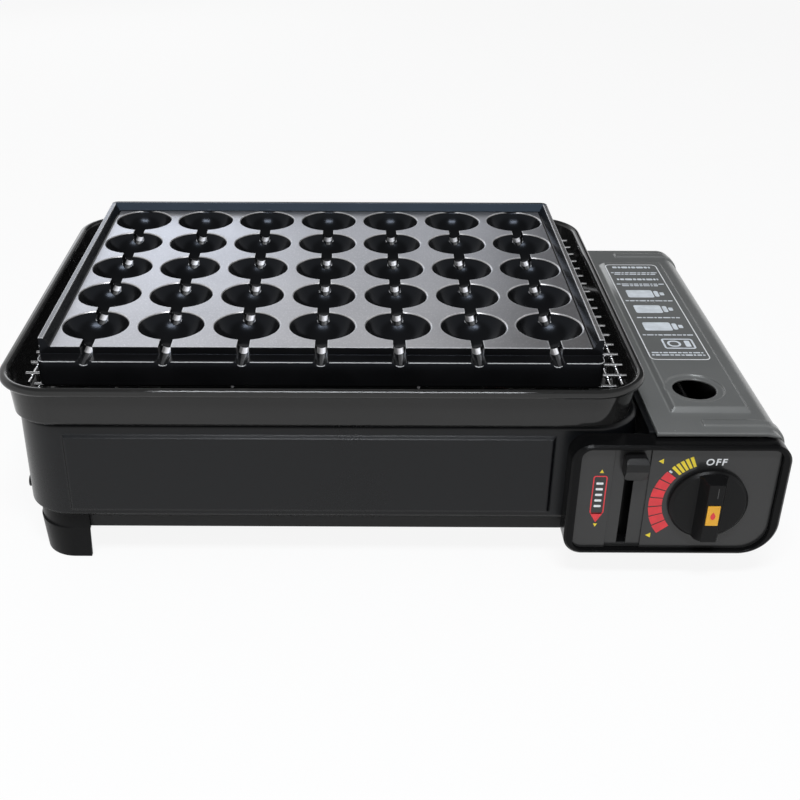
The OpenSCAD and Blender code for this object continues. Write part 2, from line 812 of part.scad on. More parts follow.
// Folded steel bay for the cartridge, with end walls, a rest for the cover and hinge knuckles
module canister_bay() {
    shoulder_x = cover_x1 - cover_r - 2;
    color("black") placed() difference() {
        union() {
            along_y(bay_y0, bay_y1) difference() {
                bay_outline(0);
                bay_outline(sheet_t);
                translate([bay_in_x1 - 1, hinge_wall_z]) square(far);
            }
            for (y = [bay_y0, bay_in_y1]) {
                along_y(y, y + sheet_t) difference() {
                    bay_outline(0);
                    translate([shoulder_x, hinge_wall_z]) square(far);
                }
            }
            block(bay_x0, bay_x0 + rest_w, bay_y0, bay_y1, bay_top - eps, bay_top + sheet_t);
            for (y = hinge_ys, side = [-1, 1]) {
                middle = y + side * (knuckle_len / 2 + knuckle_gap + ear_len / 2);
                block(bay_in_x1, bay_x1, middle - ear_len / 2, middle + ear_len / 2,
                    hinge_wall_z - eps, hinge_z);
                rod_y(middle - ear_len / 2, middle + ear_len / 2, hinge_x, hinge_z, knuckle_d);
            }
        }
        for (y = hinge_ys) {
            reach = knuckle_len / 2 + knuckle_gap + ear_len + 1;
            rod_y(y - reach, y + reach, hinge_x, hinge_z, hinge_pin_d + 2 * turn_gap);
        }
        rod_y(bay_y0 - 1, bay_in_y0 + 1, knob_x, knob_z, boss_d + 2 * fit_gap);
        arm_slot(bay_y0 - 1, bay_in_y0 + 1);
        for (x = bezel_screw_xs, z = bezel_screw_zs) {
            rod_y(bay_y0 - 1, bay_in_y0 + 1, x, z, screw_d + 2 * fit_gap);
        }
        rod_x(bay_x0 - 1, bay_in_x0 + 1, gas_y, gas_z, pipe_d + 2 * fit_gap);
        rod_x(bay_x0 - 1, bay_in_x0 + 1, lead_y, lead_z, lead_d + 2 * slide_gap);
        for (y = pad_ys) {
            rod_z(foot_h - 1, floor_z + 1, pad_x, y, screw_d + 2 * fit_gap);
        }
        for (i = [0 : vent_count - 1]) {
            vent_y = (i - (vent_count - 1) / 2) * vent_pitch;
            slab(can_x - vent_len / 2, can_x + vent_len / 2, vent_y - vent_w / 2, vent_y + vent_w / 2,
                vent_w / 2 - 0.1, foot_h - 1, floor_z + 1);
        }
    }
}

// Outline under the cover's skin, in X and Z
module cover_outline(inset) {
    intersection() {
        rounded(cover_x0 - far, cover_x1 - inset, -far, body_z - inset, cover_r - inset);
        translate([cover_x0, flange_z]) square(far);
    }
}

// Pressed cover over the cartridge, hinged along its outer side and clear of the bezel at its front
module canister_cover() {
    skin = body_z - sheet_t;
    ring_z = body_z + cover_raise - ring_drop;
    color("dimgray") placed() difference() {
        union() {
            for (y = bead_ys) {
                along_y(y, y + bead_w) difference() {
                    cover_outline(-bead_raise);
                    cover_outline(sheet_t / 2);
                    translate([cover_x0 - 1, 0]) square([bead_x0 - cover_x0 + 1, far]);
                }
            }
            along_y(cover_y0, cover_y1) difference() {
                cover_outline(0);
                cover_outline(sheet_t);
            }
            for (y = [cover_y0, cover_y1 - sheet_t]) {
                along_y(y, y + sheet_t) difference() {
                    cover_outline(0);
                    cover_outline(sheet_t + cover_edge);
                }
            }
            block(cover_x0, cover_x0 + sheet_t, cover_y0, cover_y1, skin - cover_edge, skin + eps);
            frustum(flat_x0, flat_x1, flat_y0, flat_y1, skin, body_z + cover_raise, cover_bevel);
            for (y = hinge_ys) {
                block(cover_x1 - sheet_t, cover_x1, y - knuckle_len / 2, y + knuckle_len / 2,
                    hinge_z, flange_z + eps);
                rod_y(y - knuckle_len / 2, y + knuckle_len / 2, hinge_x, hinge_z, knuckle_d);
            }
        }
        difference() {
            frustum(flat_x0 + sheet_t, flat_x1 - sheet_t, flat_y0 + sheet_t, flat_y1 - sheet_t, skin - 0.01,
                skin + cover_raise, cover_bevel);
            rod_z(0, far, finger_x, finger_y, finger_ring + 2 * sheet_t);
        }
        rod_z(0, ring_z - sheet_t, finger_x, finger_y, finger_ring);
        rod_z(ring_z, far, finger_x, finger_y, finger_ring);
        rod_z(0, far, finger_x, finger_y, finger_d);
        block(cover_x0 - 1, far, -far, bezel_back + slide_gap, 0, bezel_top + slide_gap);
        for (y = hinge_ys) {
            rod_y(y - knuckle_len, y + knuckle_len, hinge_x, hinge_z, hinge_pin_d + 2 * turn_gap);
        }
    }
}

// Two hinge pins of the cover
module hinge_pins() {
    reach = knuckle_len / 2 + knuckle_gap + ear_len;
    color("silver") placed() for (y = hinge_ys) {
        rod_y(y - reach, y + reach, hinge_x, hinge_z, hinge_pin_d);
    }
}

// Plated guide behind the regulator, with the tab that finds the cartridge's notch
module canister_guide() {
    color("silver") placed() along_y(guide_y, guide_y + guide_t) difference() {
        union() {
            intersection() {
                translate([can_x, can_z]) circle(guide_r);
                translate([can_x - guide_r, can_z]) square(2 * guide_r);
            }
            translate([can_x - tab_w / 2, can_z]) square([tab_w, guide_r + tab_h]);
        }
        translate([can_x, can_z]) circle(d = neck_d + 2 * fit_gap);
    }
}

// Outline of the bezel, in from its sides and from its top and bottom, and rounder at the lower right
module bezel_outline(side, lip) {
    x1 = bezel_x1 - side;
    z0 = bezel_z + lip;
    r = bezel_r - side;
    difference() {
        rounded(bezel_x0 + side, x1, z0, bezel_top - lip, bezel_corner - side);
        difference() {
            translate([x1 - r, z0 - 1]) square([r + 1, r + 1]);
            translate([x1 - r, z0 + r]) circle(r);
        }
    }
}

// Moulded bezel round the controls: a shoulder behind the face, a back wall and four screw posts
module control_bezel() {
    cut = bezel_chamfer;
    front = -bezel_front;
    color("black") placed() difference() {
        union() {
            difference() {
                along_y(bezel_front, bezel_back) bezel_outline(0, 0);
                along_y(bezel_front - 1, bezel_back - bezel_web) bezel_opening(shoulder_w);
                along_y(bezel_front - 1, face_back) bezel_opening(0);
                rotate([90, 0, 0]) wall_ring(bezel_x0, bezel_x1, bezel_z, bezel_top, bezel_corner, bezel_r)
                    polygon([[-cut - 1, front + 1], [1, front + 1], [1, front - cut - 1]]);
            }
            for (x = bezel_screw_xs, z = bezel_screw_zs) {
                rod_y(face_back + fit_gap, bezel_back, x, z, post_d);
            }
        }
        for (x = bezel_screw_xs, z = bezel_screw_zs) {
            rod_y(bezel_back - screw_len, bezel_back + 1, x, z, screw_d + 2 * fit_gap);
        }
        rod_y(face_back, bezel_back + 1, knob_x, knob_z, boss_d + 2 * fit_gap);
        arm_slot(face_back, bezel_back + 1);
    }
}

// Opening inside the bezel's frame, in X and Z
module bezel_opening(inset) {
    bezel_outline(bezel_side + inset, bezel_lip + inset);
}

// Face with the hole of the knob and the sunk track and slit of the lever
module control_face() {
    slit_z0 = lever_mid - lever_travel - stem_h / 2 - slide_gap;
    slit_z1 = lever_mid + stem_h / 2 + slide_gap;
    color("black") placed() difference() {
        along_y(face_y, face_back - fit_gap) bezel_opening(fit_gap);
        block(slit_x0 - track_left, slit_x0 + track_right, face_y - 1, face_y + track_depth,
            slit_z0 - track_end, far);
        block(slit_x0, slit_x0 + slit_w, face_y - 1, face_back + 1, slit_z0, slit_z1);
        rod_y(face_y - 1, face_back + 1, knob_x, knob_z, spindle_d + 4);
    }
}

// Knob with a round skirt, a grip across it and a pocket for the insert
module knob() {
    radius = knob_d / 2;
    end = radius - knob_edge / 2;
    top = knob_skirt + grip_h;
    color("black") placed() translate([knob_x, knob_y0, knob_z]) rotate([90, 0, 0]) difference() {
        union() {
            rotate_extrude() polygon([
                [0, 0], [radius, 0], [radius, knob_skirt - knob_edge], [radius - knob_edge, knob_skirt],
                [0, knob_skirt]
            ]);
            intersection() {
                cylinder(h = top, r = end);
                along_y(-end, end) polygon([
                    [-grip_w / 2, knob_skirt - eps], [grip_w / 2, knob_skirt - eps],
                    [grip_w / 2 - grip_draft, top], [grip_draft - grip_w / 2, top]
                ]);
                along_x(-grip_w, grip_w) polygon([
                    [-end, knob_skirt - eps], [end, knob_skirt - eps],
                    [end - grip_end, top], [grip_end - end, top]
                ]);
            }
        }
        block(-insert_w / 2, insert_w / 2, insert_y, insert_y + insert_h, top - insert_sink, top + 1);
        translate([0, 0, -1]) cylinder(h = socket_depth + 1, d = spindle_d + 2 * turn_gap);
    }
}

// Coloured insert in the grip
module knob_insert() {
    top = knob_skirt + grip_h;
    color("gold") placed() translate([knob_x, knob_y0, knob_z]) rotate([90, 0, 0])
        block(-insert_w / 2 + fit_gap, insert_w / 2 - fit_gap,
            insert_y + fit_gap, insert_y + insert_h - fit_gap, top - insert_sink, top + insert_proud);
}

// Spindle from the knob into the regulator
module valve_spindle() {
    color("goldenrod") placed()
        rod_y(knob_y0 - socket_depth + fit_gap, bay_in_y0 + spindle_in - fit_gap, knob_x, knob_z, spindle_d);
}

// Lock lever: thumb piece, stem through the slit, carriage behind the face, arm and cam pin
module lock_lever() {
    head_back = face_y + track_depth - slide_gap;
    head_front = face_y - lever_reach;
    carriage_y = face_back + slide_gap;
    color("black") placed() union() {
        intersection() {
            along_y(head_front, head_back)
                rounded(lever_x0, lever_x0 + lever_w, lever_top - lever_h, lever_top, head_r);
            along_x(lever_x0 - 1, lever_x0 + lever_w + 1) polygon([
                [head_back + 1, lever_top - lever_h - 1], [head_front + head_slope, lever_top - lever_h - 1],
                [head_front, lever_mid], [head_front, lever_top - head_r],
                [head_front + head_slope, lever_top + 1],
                [head_back + 1, lever_top + 1]
            ]);
        }
        block(stem_x0, stem_x0 + stem_w, head_back - eps, carriage_y + eps, lever_mid - stem_h / 2,
            lever_mid + stem_h / 2);
        block(stem_x0 - carriage_side, arm_x0 + arm_t, carriage_y, carriage_y + carriage_t,
            lever_mid - arm_h / 2, lever_mid + arm_h / 2);
        block(arm_x0, arm_x0 + arm_t, carriage_y, cam_y + cam_side,
            lever_mid - arm_h / 2, lever_mid + arm_h / 2);
        rod_x(pusher_x0 - 0.3, arm_x0 + eps, cam_y, lever_mid, cam_pin_d);
    }
}

// Pusher: side plate with the slanted cam slot, clear of the bay's round corner, and the yoke that moves the
// cartridge
module canister_pusher() {
    cam_dy = pusher_travel;
    cam_len = sqrt(lever_travel * lever_travel + cam_dy * cam_dy);
    cam_angle = atan(cam_dy / lever_travel);
    cam_w = cam_pin_d + 2 * fit_gap;
    plate_y1 = cam_y + cam_dy + cam_edge;
    pipe_room = pipe_d / 2 + 1.5;
    neck_r = cartridge_d / 2 - neck_clear;
    color("silver") placed() difference() {
        union() {
            intersection() {
                block(pusher_x0, pusher_x0 + pusher_t, pusher_y0, plate_y1,
                    lever_mid - lever_travel - cam_end, lever_mid + cam_end);
                along_y(pusher_y0 - 1, plate_y1 + 1) bay_outline(sheet_t + slide_gap);
            }
            block(pusher_x0, pusher_x0 + pusher_t, plate_y1 - eps, yoke_y + pusher_t, gas_z - pusher_arm / 2,
                gas_z + pusher_arm / 2);
            along_y(yoke_y, yoke_y + pusher_t) difference() {
                translate([pusher_x0, can_z - neck_r - yoke_side])
                    square([bay_in_x1 - yoke_end - pusher_x0, neck_r + yoke_side + yoke_top]);
                translate([can_x, can_z]) circle(neck_r);
                translate([can_x - neck_r, can_z]) square([2 * neck_r, far]);
            }
        }
        translate([pusher_x0, cam_y, lever_mid]) rotate([cam_angle, 0, 0]) {
            translate([-1, -cam_w / 2, -cam_len]) cube([pusher_t + 2, cam_w, cam_len]);
            rod_x(-1, pusher_t + 1, 0, 0, cam_w);
            rod_x(-1, pusher_t + 1, 0, -cam_len, cam_w);
        }
        block(pusher_x0 - 1, pusher_x0 + pusher_t + 1, gas_y - pipe_room, gas_y + pipe_room + cam_dy,
            gas_z - pipe_room, gas_z + pipe_room);
    }
}

// Die-cast regulator and valve: body on the bay's front wall, neck and nozzle on the cartridge's axis
module regulator() {
    back = bay_in_y0 + reg_len;
    outlet_x = knob_x - reg_d / 2;
    color("silver") placed() difference() {
        union() {
            rod_y(bay_in_y0 + fit_gap, back, knob_x, knob_z, reg_d);
            rod_y(face_back + 1, bay_in_y0 + 1, knob_x, knob_z, boss_d);
            rod_y(back - 1, back + neck_len, can_x, can_z, neck_d);
            rod_y(back, back + neck_len + nozzle_len, can_x, can_z, nozzle_d);
            rod_x(outlet_x - outlet_len, knob_x, gas_y, gas_z, pipe_d + 6);
        }
        rod_y(face_back, bay_in_y0 + spindle_in, knob_x, knob_z, spindle_d + 2 * turn_gap);
        rod_x(outlet_x - outlet_len - 1, outlet_x + outlet_len, gas_y, gas_z, pipe_d + 2 * fit_gap);
        rod_y(back + neck_len, back + neck_len + nozzle_len + 1, can_x, can_z, nozzle_d / 3);
    }
}

// Rubber ring that seals the cartridge's valve
module nozzle_seal() {
    y = bay_in_y0 + reg_len + neck_len;
    color("black") placed() difference() {
        rod_y(y, y + seal_t, can_x, can_z, seal_d);
        rod_y(y - 1, y + seal_t + 1, can_x, can_z, nozzle_d + 2 * turn_gap);
    }
}

// Gas pipe from the regulator through the bay's wall and the body's wall
module gas_pipe() {
    x0 = jet_x1 - jet_len / 2;
    x1 = knob_x - reg_d / 2 + outlet_len - fit_gap;
    color("goldenrod") placed() difference() {
        rod_x(x0, x1, gas_y, gas_z, pipe_d);
        rod_x(x0 - 1, x1 + 1, gas_y, gas_z, pipe_d - 2);
    }
}

// Brass jet with a hexagon, screwed on the pipe
module jet_nozzle() {
    x0 = jet_x1 - jet_len;
    color("goldenrod") placed() difference() {
        union() {
            rod_x(x0, jet_x1, gas_y, gas_z, jet_hex, $fn = 6);
            rod_x(x0 - jet_tip, x0 + 1, gas_y, gas_z, pipe_d);
        }
        rod_x(jet_x1 - jet_len / 2 - fit_gap, jet_x1 + 1, gas_y, gas_z, pipe_d + 2 * turn_gap);
        rod_x(x0 - jet_tip - 1, jet_x1, gas_y, gas_z, jet_bore);
    }
}

// Mixing tube with a bell mouth and two air windows, from the jet into the manifold
module mixing_tube() {
    tip_x = jet_x1 - jet_len - jet_tip;
    x0 = manifold_x + manifold_d / 2 - 4;
    length = tip_x + 5 - x0;
    inner = mixer_d / 2 - burner_wall;
    color("silver") placed() difference() {
        translate([x0, gas_y, gas_z]) rotate([0, 90, 0]) rotate_extrude() polygon([
            [inner, 0], [inner, length - bell_len], [inner + bell_flare, length],
            [inner + bell_flare + burner_wall, length], [mixer_d / 2, length - bell_len], [mixer_d / 2, 0]
        ]);
        block(tip_x - window_back - window_w, tip_x - window_back, gas_y - far, gas_y + far,
            gas_z - window_h / 2, gas_z + window_h / 2);
    }
}

// Cross tube that feeds both burner tubes
module burner_manifold() {
    y0 = gas_y - manifold_end;
    y1 = burner_y + manifold_end;
    color("silver") placed() difference() {
        rod_y(y0, y1, manifold_x, gas_z, manifold_d);
        rod_y(y0 + manifold_wall, y1 - manifold_wall, manifold_x, gas_z, manifold_d - 2 * manifold_wall);
        for (side = [-1, 1]) {
            rod_x(manifold_x - manifold_d, manifold_x, side * burner_y, gas_z, burner_d + 2 * fit_gap);
        }
        rod_x(manifold_x, manifold_x + manifold_d, gas_y, gas_z, mixer_d + 2 * fit_gap);
    }
}

// Burner tube with a closed end and two rows of flame ports
module burner_tube(side) {
    x1 = manifold_x - manifold_d / 2 + 5;
    first = bracket_xs[0] + port_end;
    step = (bracket_xs[1] - port_end - first) / (port_count - 1);
    color("silver") placed() difference() {
        rod_x(burner_x0, x1, side * burner_y, gas_z, burner_d);
        rod_x(burner_x0 + burner_wall, x1 + 1, side * burner_y, gas_z, burner_d - 2 * burner_wall);
        for (i = [0 : port_count - 1], lean = [-40, 40]) {
            translate([first + i * step, side * burner_y, gas_z]) rotate([lean, 0, 0])
                cylinder(h = burner_d, d = port_d);
        }
    }
}

module front_burner_tube() {
    burner_tube(-1);
}

module rear_burner_tube() {
    burner_tube(1);
}

// Two upright brackets on the pan that carry the burner tubes
module burner_brackets() {
    top = gas_z + burner_d / 2 + 4;
    color("silver") placed() for (x = bracket_xs) {
        difference() {
            union() {
                block(x, x + bracket_t, -bracket_y, bracket_y, floor_z, top);
                block(x, x + bracket_foot, -bracket_y, bracket_y, floor_z, floor_z + bracket_t);
            }
            for (side = [-1, 1]) {
                rod_x(x - 1, x + bracket_t + 1, side * burner_y, gas_z, burner_d + 2 * fit_gap);
            }
            block(x - 1, x + bracket_t + 1, -burner_y + burner_d, burner_y - burner_d,
                floor_z + bracket_tie, top + 1);
        }
    }
}

// Sheet that keeps the burner's heat off the bay, on pressed dimples
module heat_shield() {
    wall = jet_x1;
    y0 = gas_y + shield_start;
    y1 = body_y - body_r;
    z0 = foot_h + pan_h + slide_gap;
    z1 = body_z - sheet_t - slide_gap;
    color("silver") placed() union() {
        block(wall - shield_gap - 1, wall - shield_gap, y0, y1, z0, z1);
        for (y = [y0 + shield_spot, y1 - shield_spot]) {
            rod_x(wall - shield_gap - eps, wall, y, (z0 + z1) / 2, 14);
        }
    }
}

// Piezo igniter beside the regulator
module igniter() {
    color("ivory") placed() union() {
        rod_y(bay_in_y0 + fit_gap, igniter_back, igniter_x, igniter_z, igniter_d);
        rod_y(bay_in_y0 + fit_gap, bay_in_y0 + 6, igniter_x, igniter_z, igniter_d + 3);
    }
}

// Direction of a route at one of its points, the ring of a tube there, and the whole tube
function route_way(route, i) =
    let (a = route[max(i - 1, 0)], b = route[min(i + 1, len(route) - 1)]) (b - a) / norm(b - a);
function route_ring(p, way, r, sides) =
    let (u = cross(way, [1, 1, 1]) / norm(cross(way, [1, 1, 1])), v = cross(way, u))
    [for (k = [0 : sides - 1]) p + r * (cos(360 * k / sides) * u + sin(360 * k / sides) * v)];

module route_tube(route, d, sides) {
    rings = [for (i = [0 : len(route) - 1]) each route_ring(route[i], route_way(route, i), d / 2, sides)];
    last = (len(route) - 1) * sides;
    skin = [for (i = [0 : len(route) - 2], k = [0 : sides - 1])
        let (a = i * sides + k, b = i * sides + (k + 1) % sides)
            each [[a, a + sides, b], [b, a + sides, b + sides]]];
    caps = [for (k = [1 : sides - 2]) each [[0, k, k + 1], [last, last + k + 1, last + k]]];
    polyhedron(rings, concat(skin, caps));
}

// Insulated lead from the igniter, under the regulator and through both walls, to the electrode
module igniter_lead() {
    color("firebrick") placed() route_tube(lead_route, lead_d, 8);
}

// Ceramic electrode beside the front burner tube, with its spark pin
module igniter_electrode() {
    y = -burner_y - burner_d / 2 - 7;
    x = bracket_xs[1] + bracket_t + fit_gap + electrode_d / 2;
    pin_z = gas_z + burner_d / 2 + 3;
    color("ivory") placed() union() {
        rod_z(electrode_z, gas_z + 4, x, y, electrode_d);
        rod_z(gas_z + 3, pin_z, x, y, 1.6);
        rod_y(y - 0.8, y + 7, x, pin_z, 1.6);
    }
}

// Screws of the four feet
module foot_screws() {
    color("gray") placed() {
        for (y = [-foot_screw_y, foot_screw_y]) {
            rod_z(0.3, foot_wall, foot_screw_x, y, screw_head);
            rod_z(foot_wall - eps, foot_h - fit_gap, foot_screw_x, y, screw_d);
        }
        for (y = pad_ys) {
            rod_z(foot_h / 2 - 2, foot_h / 2, pad_x, y, screw_head - 0.5);
            rod_z(foot_h / 2 - eps, floor_z + 2, pad_x, y, screw_d);
        }
    }
}

// Screws from the left side through the body into the left feet
module side_screws() {
    color("gray") placed() for (y = [-side_screw_y, side_screw_y]) {
        rod_x(body_x0 - side_head_t, body_x0, y, side_screw_z, side_head);
        rod_x(body_x0 - eps, pan_x0 - 1, y, side_screw_z, screw_d);
    }
}

// Screws from inside the bay into the bezel
module bezel_screws() {
    color("gray") placed() for (x = bezel_screw_xs, z = bezel_screw_zs) {
        rod_y(bezel_back - screw_len + 1, bay_in_y0 + eps, x, z, screw_d);
        rod_y(bay_in_y0, bay_in_y0 + 2, x, z, screw_head - 1);
    }
}

griddle_plate();
wire_net();
net_feet();
enamel_tray();
body_shell();
bottom_pan();
front_left_foot();
rear_left_foot();
right_feet();
canister_bay();
canister_cover();
hinge_pins();
canister_guide();
control_bezel();
control_face();
knob();
knob_insert();
valve_spindle();
lock_lever();
canister_pusher();
regulator();
nozzle_seal();
gas_pipe();
jet_nozzle();
mixing_tube();
burner_manifold();
front_burner_tube();
rear_burner_tube();
burner_brackets();
heat_shield();
igniter();
igniter_lead();
igniter_electrode();
foot_screws();
side_screws();
bezel_screws();
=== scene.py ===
"""Looks of a tabletop gas griddle for quail eggs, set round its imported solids."""

import json
import logging
import math
from dataclasses import dataclass
from enum import Enum
from functools import lru_cache
from typing import Any, Dict, List, Optional, Sequence, Tuple, Union

import bpy
from mathutils import Matrix, Vector


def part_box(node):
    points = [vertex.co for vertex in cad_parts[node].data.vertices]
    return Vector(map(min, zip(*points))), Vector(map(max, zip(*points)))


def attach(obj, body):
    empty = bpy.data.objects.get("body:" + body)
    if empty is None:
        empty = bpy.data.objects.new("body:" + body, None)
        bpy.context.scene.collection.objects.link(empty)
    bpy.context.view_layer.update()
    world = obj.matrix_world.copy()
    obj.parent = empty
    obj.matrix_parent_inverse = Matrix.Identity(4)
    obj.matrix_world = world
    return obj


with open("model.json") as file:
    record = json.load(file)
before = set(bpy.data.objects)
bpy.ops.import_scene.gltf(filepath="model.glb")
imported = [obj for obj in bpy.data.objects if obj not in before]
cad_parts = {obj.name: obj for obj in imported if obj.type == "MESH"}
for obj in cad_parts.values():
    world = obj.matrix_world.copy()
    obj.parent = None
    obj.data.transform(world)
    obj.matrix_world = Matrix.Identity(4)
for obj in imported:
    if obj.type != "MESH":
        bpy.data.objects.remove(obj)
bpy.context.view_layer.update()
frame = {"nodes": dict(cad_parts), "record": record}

MM = 0.001
# Thickness of a print
INK = 0.12 * MM
# Axis of the knob on the control face
KNOB_X = 189.0 * MM
KNOB_Z = 55.5 * MM
# Part of a noise's range that is stretched over a whole change of tone
MIDTONES = (0.3, 0.7)
LOG = logging.getLogger("griddle")

Color = Tuple[float, float, float]
Point = Tuple[float, float, float]
Value = Union["Sock", float, Sequence[float]]


class Slot(Enum):
    """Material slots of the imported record."""

    CAST_PLATE = "cast_plate"
    CHROME_WIRE = "chrome_wire"
    BLACK_ENAMEL = "black_enamel"
    BODY_PAINT = "body_paint"
    PAN_STEEL = "pan_steel"
    FOOT_PLASTIC = "foot_plastic"
    FOOT_RUBBER = "foot_rubber"
    COVER_PAINT = "cover_paint"
    PLATED_STEEL = "plated_steel"
    BEZEL_PLASTIC = "bezel_plastic"
    FACE_PLASTIC = "face_plastic"
    KNOB_PLASTIC = "knob_plastic"
    INSERT_PLASTIC = "insert_plastic"
    LEVER_PLASTIC = "lever_plastic"
    BRASS = "brass"
    DIE_CAST = "die_cast"
    BURNER_STEEL = "burner_steel"
    IGNITER_PLASTIC = "igniter_plastic"
    LEAD_SLEEVE = "lead_sleeve"
    CERAMIC = "ceramic"


@dataclass(frozen=True)
class Grain:
    """Fine relief of a surface: noise, and cells where a mould has left its own grain."""

    size_mm: float
    depth_mm: float
    detail: float = 1.0
    stretch: Point = (1.0, 1.0, 1.0)
    cell_mm: float = 0.0


class Texture(Enum):
    """Fine relief that a finish carries."""

    # Sprayed paint
    ORANGE_PEEL = Grain(2.2, 0.012)
    # Plastic from a spark-eroded mould
    MOULDED = Grain(0.3, 0.02, 2.0, cell_mm=0.55)
    # Rolled sheet, streaked along X
    ROLLED = Grain(0.5, 0.008, 3.0, (0.04, 1.0, 1.0))
    # Sand-blasted casting
    CAST = Grain(0.9, 0.06, 4.0)
    # Plating or glaze
    SMOOTH = Grain(6.0, 0.006)


class Sock:
    """An output socket whose arithmetic adds Math nodes to its tree."""

    def __init__(self, web: "Web", socket: bpy.types.NodeSocket) -> None:
        """Keeps the socket with the tree that it belongs to."""
        self.web = web
        self.socket = socket

    def _math(self, operation: str, first: Value, second: Value) -> "Sock":
        """Adds one Math node."""
        return self.web.node("ShaderNodeMath", {"operation": operation}, {0: first, 1: second})

    def __add__(self, other: Value) -> "Sock":
        """Sum."""
        return self._math("ADD", self, other)

    def __sub__(self, other: Value) -> "Sock":
        """Difference."""
        return self._math("SUBTRACT", self, other)

    def __rsub__(self, other: Value) -> "Sock":
        """Difference, reflected."""
        return self._math("SUBTRACT", other, self)

    def __mul__(self, other: Value) -> "Sock":
        """Product."""
        return self._math("MULTIPLY", self, other)

    def __truediv__(self, other: Value) -> "Sock":
        """Quotient."""
        return self._math("DIVIDE", self, other)

    def fold(self, period: float, start: float) -> "Sock":
        """Distance past the last of many equal steps.

        Args:
            period: length of a step.
            start: place of one step.

        Returns:
            The distance, from 0 to the step's length.
        """
        return self._math("FRACT", (self - start) / period, 0.0) * period

    def off(self, middle: float) -> "Sock":
        """Distance from a middle value, without its sign."""
        return self._math("ABSOLUTE", self - middle, 0.0)

    def ramp(self, low: float, high: float, start: float = 0.0, end: float = 1.0) -> "Sock":
        """Smooth change between two values.

        Args:
            low: value where the change begins.
            high: value where it ends.
            start: result at and before low.
            end: result at and after high.

        Returns:
            The changed value.
        """
        settings = {"interpolation_type": "SMOOTHSTEP", "clamp": True}
        keys = ("Value", "From Min", "From Max", "To Min", "To Max")
        values = (self, low, high, start, end)
        return self.web.node("ShaderNodeMapRange", settings, dict(zip(keys, values)))

    def below(self, limit: float, soft: float) -> "Sock":
        """Mask of the values up to a limit, which fades out over a soft length past it."""
        return self.ramp(limit, limit + soft, 1.0, 0.0)


@dataclass(frozen=True)
class Spot:
    """Object coordinates of the shaded point, axis by axis."""

    x: Sock
    y: Sock
    z: Sock


class Web:
    """Node tree of a material or of the world."""

    def __init__(self, owner: Union[bpy.types.Material, bpy.types.World], ending: str) -> None:
        """Starts an empty tree.

        Args:
            owner: material or world that has the tree.
            ending: type of its output node.
        """
        owner.use_nodes = True
        self.tree = owner.node_tree
        self.tree.nodes.clear()
        self.ending = ending

    def node(
        self,
        kind: str,
        settings: Optional[Dict[str, Any]] = None,
        inputs: Optional[Dict[Union[int, str], Value]] = None,
        out: Union[int, str] = 0,
    ) -> Optional[Sock]:
        """Adds a node.

        Args:
            kind: type of the node.
            settings: its own properties, set first.
            inputs: values or links of its sockets.
            out: output that is wanted.

        Returns:
            That output, or nothing from a node that has none.
        """
        made = self.tree.nodes.new(kind)
        for key, value in (settings or {}).items():
            setattr(made, key, value)
        for key, value in (inputs or {}).items():
            if isinstance(value, Sock):
                self.tree.links.new(value.socket, made.inputs[key])
            else:
                made.inputs[key].default_value = value
        return Sock(self, made.outputs[out]) if made.outputs else None

    def axis(self, vector: Sock, name: str) -> Sock:
        """One axis of a vector."""
        return self.node("ShaderNodeSeparateXYZ", {}, {0: vector}, name)

    def rays(self) -> Tuple[Sock, ...]:
        """Masks of the camera's rays, of mirrored rays and of rays through glass."""
        names = ("Is Camera Ray", "Is Glossy Ray", "Is Transmission Ray")
        return tuple(self.node("ShaderNodeLightPath", out=name) for name in names)

    def end(self, surface: Sock) -> None:
        """Links a surface to the tree's output."""
        self.node(self.ending, {}, {"Surface": surface})


